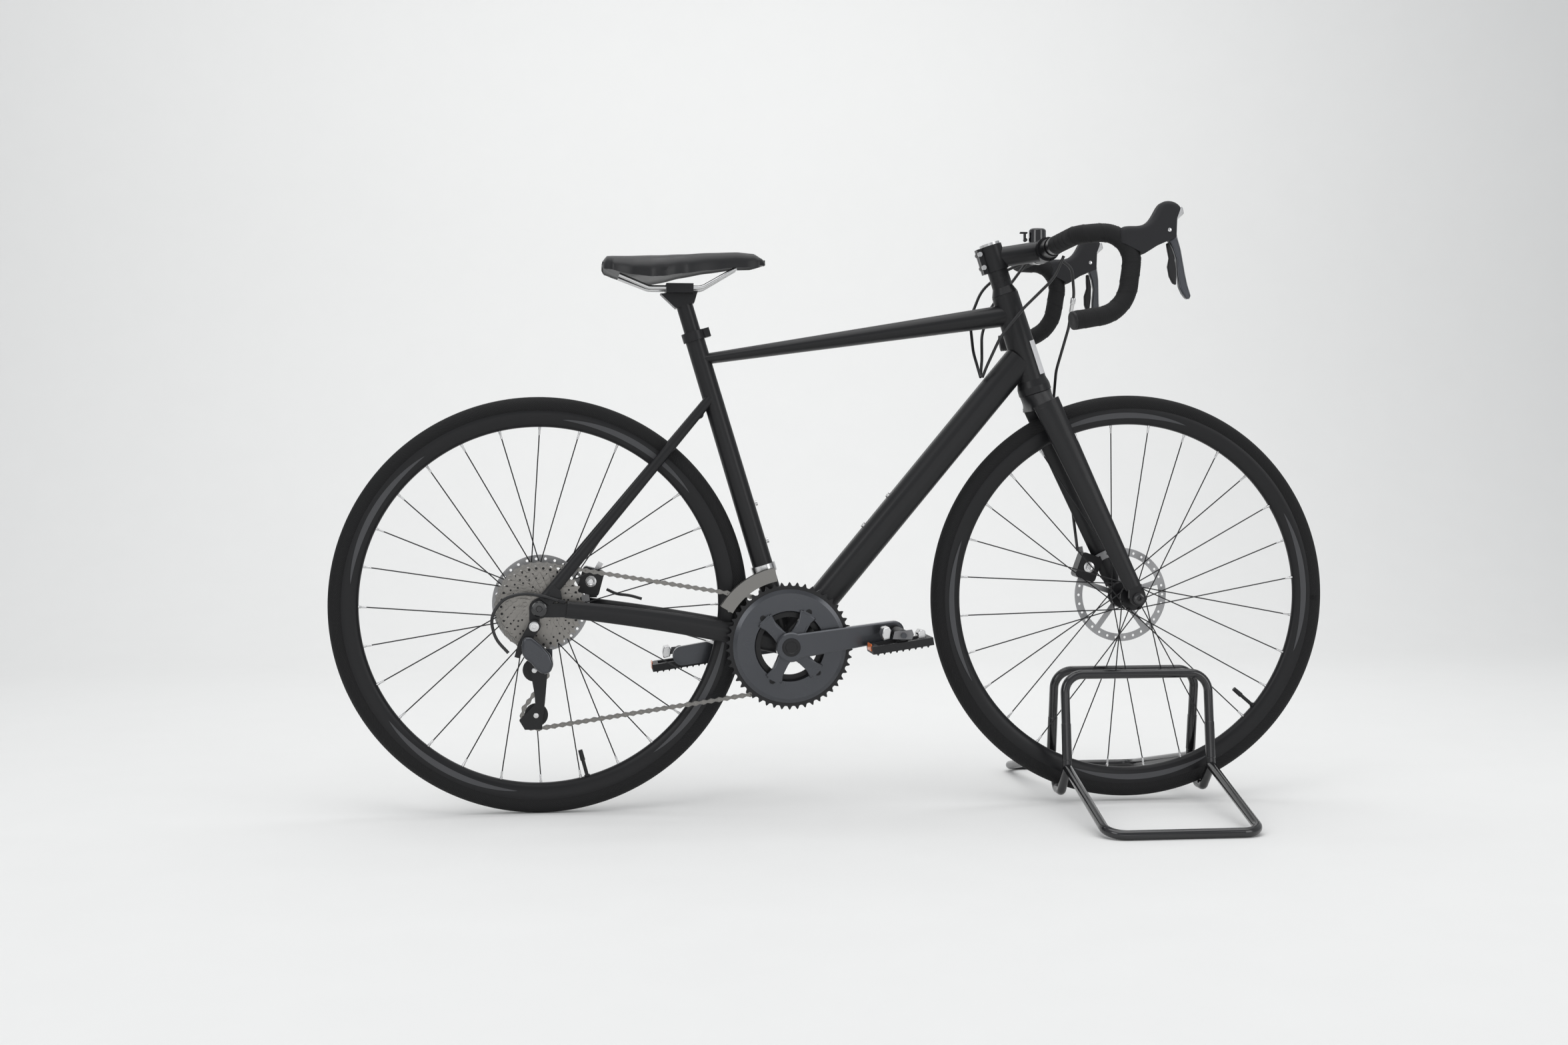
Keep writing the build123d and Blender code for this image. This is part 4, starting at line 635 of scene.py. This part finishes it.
def saddle_skin():
    """The cushion: a domed top with a shallow channel, closed below by a raised floor."""
    rows, around = 90, 40
    verts, faces = [], []
    for i in range(rows + 1):
        share = i / rows
        x = 100.5 + 266.5 * (share - 0.045 * sin(2 * pi * share))
        half, top, low = between(WIDTH_LINE, x), between(TOP_LINE, x), between(LOW_LINE, x)
        for k in range(around + 1):
            u = 2 * k / around - 1
            angle = u * pi / 2
            y = half * (1 if sin(angle) >= 0 else -1) * abs(sin(angle)) ** 0.86
            z = low + (top - low) * cos(angle) ** 0.62
            dip = 1.6 * max(0, 1 - abs(y) / 9) ** 2 * sin(pi * min(1, share * 1.05)) ** 2
            verts.append(at(x, y, z - dip))
        for k in range(around - 1):
            u = 1 - 2 * (k + 1) / around
            verts.append(at(x, (half - 3) * u, low + 2.5 + (1 - abs(u)) * 6))
    size = 2 * around
    for i in range(rows):
        for k in range(size):
            n = (k + 1) % size
            faces.append((i * size + k, i * size + n, (i + 1) * size + n, (i + 1) * size + k))
    faces.append(tuple(range(size)))
    faces.append(tuple(reversed(range(rows * size, (rows + 1) * size))))
    return verts, faces


cushion = shape("saddle_cushion", *saddle_skin(), SKIN, "seat", 50)
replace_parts(cushion, "saddle_cover")


# ---------------------------------------------------------------- drivetrain details
def soften(made, width=0.001, segments=2):
    """Rounds a piece's edges, so that they catch the light."""
    bevel = made.modifiers.new("round_edges", "BEVEL")
    bevel.width = width
    bevel.segments = segments
    bevel.limit_method = "ANGLE"
    return made


def toothed(centre, y, teeth, inner, thickness):
    """A flat ring with rounded chain teeth on its outside, open inside."""
    pitch = pitch_radius(teeth)
    tooth = (
        (0.0, -0.0034), (0.22, -0.0026), (0.38, 0.0012), (0.5, 0.0030), (0.62, 0.0012), (0.78, -0.0026),
    )
    outer = []
    for k in range(teeth):
        for share, r in tooth:
            angle = 2 * pi * (k + share) / teeth
            outer.append((angle, pitch + r))
    size = len(outer)
    verts, faces = [], []
    for side in (-1, 1):
        for angle, r in outer:
            verts.append(centre + polar(angle, r, y + side * thickness / 2))
        for angle, r in outer:
            verts.append(centre + polar(angle, inner, y + side * thickness / 2))
    for i in range(size):
        n = (i + 1) % size
        faces.append((i, n, size + n, size + i))
        faces.append((3 * size + i, 3 * size + n, 2 * size + n, 2 * size + i))
        faces.append((2 * size + i, 2 * size + n, n, i))
        faces.append((size + i, size + n, 3 * size + n, 3 * size + i))
    return verts, faces


SPROCKETS = (34, 30, 26, 23, 20, 17, 15, 13, 12, 11)
BIG_SPROCKET_Y, SPROCKET_STEP = -0.028, 0.00395
plates, painted_hole_shade = Pile(), Pile()
for number, teeth in enumerate(SPROCKETS):
    y = BIG_SPROCKET_Y - number * SPROCKET_STEP
    smaller = SPROCKETS[min(number + 1, len(SPROCKETS) - 1)]
    inner = max(0.0125, pitch_radius(smaller) - 0.011)
    plates.add(toothed(REAR, y, teeth, inner, 0.0017))
    mid = (pitch_radius(teeth) + pitch_radius(smaller)) / 2 - 0.0032
    # Thin black discs on each sprocket's outer face are painted shade: they stand in for the dark seen
    # through the sprockets' holes.
    if number < 7:
        holes = teeth if number < 3 else teeth // 2
        size = 0.0016 if number else 0.0022
        for k in range(holes):
            angle = 2 * pi * (k + 0.5 * (number % 2)) / holes
            spot = REAR + polar(angle, mid, y - 0.00088)
            painted_hole_shade.add(lathe(spot, -Y, [(0, size), (0.0001, size)], 12))
carrier = [(0, 0.0125), (0.001, 0.0150), (0.004, 0.0155), (0.038, 0.0165)]
plates.add(lathe(REAR - Y * 0.0665, Y, carrier, 40))
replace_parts(plates.make("cassette_sprockets", NICKEL, "cassette"), "cassette")
# The black discs are painted shade for the sprockets' holes, not a plastic part.
painted_hole_shade.make("cassette_painted_hole_shade", PLASTIC, "cassette")

rings = Pile()
rings.add(toothed(BB, -0.0475, BIG_RING_TEETH, 0.0900, 0.0030))
rings.add(toothed(BB, -0.0410, RING_TEETH, 0.0470, 0.0020))
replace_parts(rings.make("chainring_teeth", ANODISED, "crankset"), "chainrings")
cover_section = (
    (0.0555, -0.0500), (0.0575, -0.0530), (0.0860, -0.0530), (0.0925, -0.0500), (0.0925, -0.0470),
    (0.0555, -0.0470),
)
verts, faces, uvs = ring_lathe(BB, cover_section, 144)
shape("chainring_cover", verts, faces, CRANK, "crankset", 20)

CRANK_TILT, CRANK_LENGTH, CRANK_FACE = 8.5, 0.170, 0.0731
half_arm = [(0.014, -0.0125), (0.040, -0.0085), (0.060, -0.0150)]
arm_line = half_arm + [(x, -y) for x, y in reversed(half_arm)]
bolt_head = [(0, 0.0052), (0.0012, 0.0050), (0.0014, 0.0030), (0.0004, 0.0026)]
arms, bolts = Pile(), Pile()
for turn in (52, 125.5, 234.5, 308):
    angle = radians(turn + CRANK_TILT)
    out = polar(angle, 1)
    arms.add(slab(arm_line, BB - Y * 0.0560, out, -out.cross(Y), 0.0105))
    bolts.add(lathe(BB + polar(angle, 0.063, -0.0529), -Y, bolt_head, 20))
soften(arms.make("spider_arms", CRANK, "crankset"), 0.002)
bolts.make("chainring_bolts", ANODISED, "crankset")

crank_rings = Pile()
for side, tilt in ((-1, 0), (1, 180)):
    out = polar(radians(CRANK_TILT + tilt), 1)
    hub_ring = [(0, 0.0150), (0.0012, 0.0145), (0.0014, 0.0100), (0.0006, 0.0090)]
    pedal_ring = [(0, 0.0105), (0.0010, 0.0100), (0.0011, 0.0070)]
    crank_rings.add(lathe(BB + Y * side * CRANK_FACE, Y * side, hub_ring, 32))
    crank_rings.add(lathe(BB + out * CRANK_LENGTH + Y * side * CRANK_FACE, Y * side, pedal_ring, 28))
crank_rings.make("crank_end_rings", ANODISED, "crankset")

hanger_bolt = [(0, 0.0082), (0.0030, 0.0078), (0.0036, 0.0060), (0.0036, 0.0034), (0.0012, 0.0030)]
shape("hanger_bolt_head", *lathe(at(-7.7, -90.0, 311.1), -Y, hanger_bolt, 28), SILVER, "rd_bracket")
axle_nut = [(0, 0.0125), (0.0030, 0.0125), (0.0042, 0.0105), (0.0042, 0.0050), (0.0008, 0.0045)]
made = shape("rear_axle_nut", *lathe(at(0, -79.6, 338), -Y, axle_nut, 36), GLOSS, "frame")
soften(made, 0.0004)
caps = Pile()
for x, z in ((-9, 236), (-6.5, 163.2)):
    caps.add(lathe(at(x, -35.3, z), -Y, [(0, 0.0044), (0.0016, 0.0042), (0.0020, 0.0030)], 20))
caps.make("pulley_bolt_heads", SILVER, "rd_cage")
body_line = [
    (-27, 283), (-24, 295), (-12, 296), (4, 283), (17, 268), (23, 252), (18, 240), (7, 236), (-3, 243),
    (-12, 254), (-22, 262), (-27, 270),
]
made = shape("derailleur_body", *upright_slab(body_line, -0.0985, 0.014), CRANK, "rd_link", 30)
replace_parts(soften(made, 0.0045, 4), "rd_link")


# ---------------------------------------------------------------- brake levers and paddles
LEVER_PIN_Z, LEVER_DROP, LEVER_FLARE = 0.925, 0.112, 0.027


def flared(solid, side):
    """Leans a lever outward below its pin, as a drop-bar lever does."""
    verts, faces = solid
    moved = []
    for v in verts:
        lean = side * LEVER_FLARE * max(0, (LEVER_PIN_Z - v.z) / LEVER_DROP)
        moved.append(Vector((v.x, v.y + lean, v.z)))
    return moved, faces


def lever_piece(name, line, side, y, thickness, worn, body):
    """A flared plate of the brake lever or paddle on one side."""
    return shape(name, *flared(upright_slab(line, side * y, thickness), side), worn, body, 30)


blade_line = [
    (997, 955), (989, 946), (986, 938), (986.5, 926), (990, 912), (992.5, 900), (994.5, 880), (996.5, 860),
    (999, 843), (1003, 826), (1000, 821), (995.5, 822), (990, 830), (986, 841), (984.6, 860), (985.2, 884),
    (981, 900), (975, 913), (966, 921), (964, 931), (970, 939), (978, 941), (982, 948), (984, 957),
    (991, 966), (997, 963),
]
cap_line = [(999.6, 956), (997.5, 966), (992.5, 968.5), (985.5, 959.5), (984, 948), (988, 945.5)]
edge_line = [
    (988, 930), (991.6, 912), (994, 900), (996, 880), (998, 860), (1000.4, 843), (1004.2, 827),
    (1001.5, 821), (998.5, 824), (996.4, 843), (994.6, 862), (992.8, 884), (990, 904), (986.4, 922),
]
paddle_line = [
    (975.5, 910), (979, 900), (981.8, 889), (982.8, 868), (981.5, 843), (976, 846), (971.5, 857), (970, 872),
    (973.5, 886), (972, 898), (971, 910),
]
for side, word in SIDES:
    lever, paddle = f"brake_lever_{word}", f"shift_paddle_{word}"
    made = lever_piece(f"lever_blade_{word}", blade_line, side, 0.214, 0.0115, CRANK, lever)
    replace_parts(soften(made, 0.0024, 3), lever)
    made = lever_piece(f"lever_cap_{word}", cap_line, side, 0.214, 0.0145, SILVER, lever)
    soften(made, 0.0022, 3)
    made = lever_piece(f"lever_edge_{word}", edge_line, side, 0.214, 0.0060, SILVER, lever)
    soften(made, 0.0012, 2)
    made = lever_piece(f"paddle_plate_{word}", paddle_line, side, 0.216, 0.0085, PLASTIC, paddle)
    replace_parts(soften(made, 0.0025, 3), paddle)

# ---------------------------------------------------------------- frame details
web_line = [
    (-13, 345), (-4, 354), (8, 360), (20, 378), (34, 366), (36, 352), (24, 348), (16, 340), (0, 352),
]
for side, word in SIDES:
    web = upright_slab(web_line, side * 0.0715, 0.0086)
    soften(shape(f"dropout_web_{word}", *web, PAINT, "frame", 30), 0.002, 3)
axle_end = [(0, 0.0098), (0.0030, 0.0098), (0.0040, 0.0080), (0.0040, 0.0040), (0.0010, 0.0035)]
shape("front_axle_end", *lathe(FRONT - Y * 0.0604, -Y, axle_end, 32), GLOSS, "steering")
caliper_bolt = [(0, 0.0095), (0.0022, 0.0092), (0.0028, 0.0060), (0.0014, 0.0040)]
for end, spot, body in (("front", at(922, 24.8, 393), "steering"), ("rear", at(82, 36.8, 374), "frame")):
    made = shape(f"{end}_caliper_bolt", *lathe(spot, -Y, caliper_bolt, 28), SILVER, body)
    soften(made, 0.0003)
sleeve = [(0, 0.0076), (0.0006, 0.0081), (0.060, 0.0081), (0.0606, 0.0076)]
sleeves = Pile()
for side in (-1, 1):
    for x in (FRONT_X - 0.117, FRONT_X + 0.129):
        foot, head = Vector((x, side * 0.051, 0.065)), Vector((x, side * 0.031, 0.217))
        run = (head - foot).normalized()
        sleeves.add(lathe(foot + run * 0.012, run, sleeve, 28))
sleeves.make("stand_sleeves", ENAMEL, "stand")

# ---------------------------------------------------------------- pedal and small details
fore_claw = [
    (0.026, 0.001), (0.030, 0.007), (0.038, 0.006), (0.040, -0.006), (0.034, -0.012), (0.027, -0.008),
]
aft_claw = [
    (-0.031, 0.000), (-0.029, 0.010), (-0.020, 0.012), (-0.016, 0.006), (-0.018, -0.006), (-0.029, -0.009),
]
plate_line = [(-0.017, -0.006), (-0.014, 0.006), (0.014, 0.009), (0.017, 0.001), (0.014, -0.007)]
reflector_line = [(-0.0495, -0.026), (-0.0495, -0.015), (-0.0480, -0.015), (-0.0480, -0.026)]


def dress_pedal(word, side, axle):
    """Claws, outer plate, platform teeth and rear reflector about the pedal's middle."""
    body = f"pedal_{word}"
    middle = axle + Y * side * 0.123
    claws, teeth = Pile(), Pile()
    claws.add(slab(fore_claw, middle, X, Z, 0.026))
    claws.add(slab(aft_claw, middle, X, Z, 0.030))
    for number in range(9):
        x = -0.040 + 0.010 * number
        root, tip = -0.0225 + 0.15 * x, -0.0262 + 0.15 * x
        tooth = [(x - 0.0022, root), (x, tip), (x + 0.0022, root)]
        for edge in (-0.027, 0.027):
            teeth.add(slab(tooth, middle + Y * edge, X, Z, 0.0070))
    soften(claws.make(f"pedal_claws_{word}", SILVER, body), 0.0015)
    plate = slab(plate_line, middle + Y * side * 0.0292, X, Z, 0.0016)
    soften(shape(f"pedal_plate_{word}", *plate, GREY, body), 0.0006)
    teeth.make(f"pedal_teeth_{word}", PLASTIC, body)
    shape(f"pedal_reflector_{word}", *slab(reflector_line, middle, X, Z, 0.034), ORANGE, body)


dress_pedal("right", -1, at(570.2, 0, 296.9))
dress_pedal("left", 1, at(234.0, 0, 246.7))

pin_ends = Pile()
pin_end = [(-0.001, 0.0030), (0.0005, 0.0030), (0.0009, 0.0022)]
for side in (-1, 1):
    for face in (-1, 1):
        pin_ends.add(lathe(at(973.2, side * 214 + face * 16.0, 929.3), Y * face, pin_end, 20))
pin_ends.make("lever_pin_ends", SILVER, "steering")

# The steering axis, the direction forward across it, and the point on it beside the front axle.
HEAD = Vector((-0.30680, 0, 0.95176))
FORE = Vector((0.95176, 0, 0.30680))
HEAD_FOOT = FRONT - FORE * 0.048
verts, faces = [], []
rows, columns = 8, 10
for i in range(rows + 1):
    for k in range(columns + 1):
        turn = radians(-62 + 54 * k / columns)
        length = 0.402 + 0.058 * i / rows
        radius = 0.0248 - 0.0024 * max(0, (length - 0.397) / 0.149)
        verts.append(HEAD_FOOT + HEAD * length + (FORE * cos(turn) + Y * sin(turn)) * radius)
for i in range(rows):
    for k in range(columns):
        corner = i * (columns + 1) + k
        faces.append((corner, corner + 1, corner + columns + 2, corner + columns + 1))
shape("head_tube_label", verts, faces, LABEL, "frame")


# ---------------------------------------------------------------- floor, light and camera
def stage_mesh(name, verts, faces, worn):
    mesh = bpy.data.meshes.new(name)
    mesh.from_pydata(verts, [], faces)
    made = bpy.data.objects.new(name, mesh)
    bpy.context.scene.collection.objects.link(made)
    mesh.materials.append(worn)
    for face in mesh.polygons:
        face.use_smooth = True
    return made


FLOOR = material("pale_floor", (0.83, 0.83, 0.82), 0.75, speck=0.003, grain=60, bump=0.02)
sweep_profile = [(-4.2, 0.0), (2.2, 0.0)]
for step in range(1, 13):
    turn = pi / 2 * step / 12
    sweep_profile.append((2.2 + 1.5 * sin(turn), 1.5 * (1 - cos(turn))))
sweep_profile.append((3.7, 5.5))
floor_verts = [(x, y, z) for y, z in sweep_profile for x in (-6.5, 6.5)]
floor_faces = [(2 * i, 2 * i + 1, 2 * i + 3, 2 * i + 2) for i in range(len(sweep_profile) - 1)]
stage_mesh("floor", floor_verts, floor_faces, FLOOR)


def area_light(name, place, aim, size, power):
    data = bpy.data.lights.new(name, "AREA")
    data.shape = "RECTANGLE"
    data.size, data.size_y = size
    data.energy = power
    made = bpy.data.objects.new(name, data)
    made.location = place
    made.rotation_euler = (Vector(aim) - Vector(place)).to_track_quat("-Z", "Y").to_euler()
    bpy.context.scene.collection.objects.link(made)


area_light("overhead", (0.2, -0.4, 3.4), (0, 0, 0.3), (4.0, 3.0), 62)
area_light("left_front", (-3.0, -2.8, 2.2), (0, 0, 0.5), (2.0, 2.2), 30)
area_light("right_front", (2.8, -3.0, 1.7), (0.1, 0, 0.5), (1.6, 2.2), 24)
area_light("low_fill", (0.0, -3.6, 0.5), (0, 0, 0.45), (3.0, 0.8), 7)
area_light("backdrop", (0, 1.4, 3.0), (0, 3.2, 0.8), (5.0, 0.8), 30)
world = bpy.data.worlds.new("studio")
bpy.context.scene.world = world
world.use_nodes = True
world.node_tree.nodes["Background"].inputs["Color"].default_value = (0.95, 0.97, 1.0, 1)
world.node_tree.nodes["Background"].inputs["Strength"].default_value = 0.5
bpy.context.scene.view_settings.view_transform = "Standard"
bpy.context.scene.view_settings.exposure = 0.0

camera_data = bpy.data.cameras.new("camera")
camera_data.sensor_fit = "HORIZONTAL"
camera_data.sensor_width = 36.0
camera_data.lens = 40.556
camera = bpy.data.objects.new("camera", camera_data)
camera.location = (-0.42491, -2.89076, 0.55022)
camera.rotation_euler = (radians(88.4451), 0, radians(-6.5587))
bpy.context.scene.collection.objects.link(camera)
bpy.context.scene.camera = camera
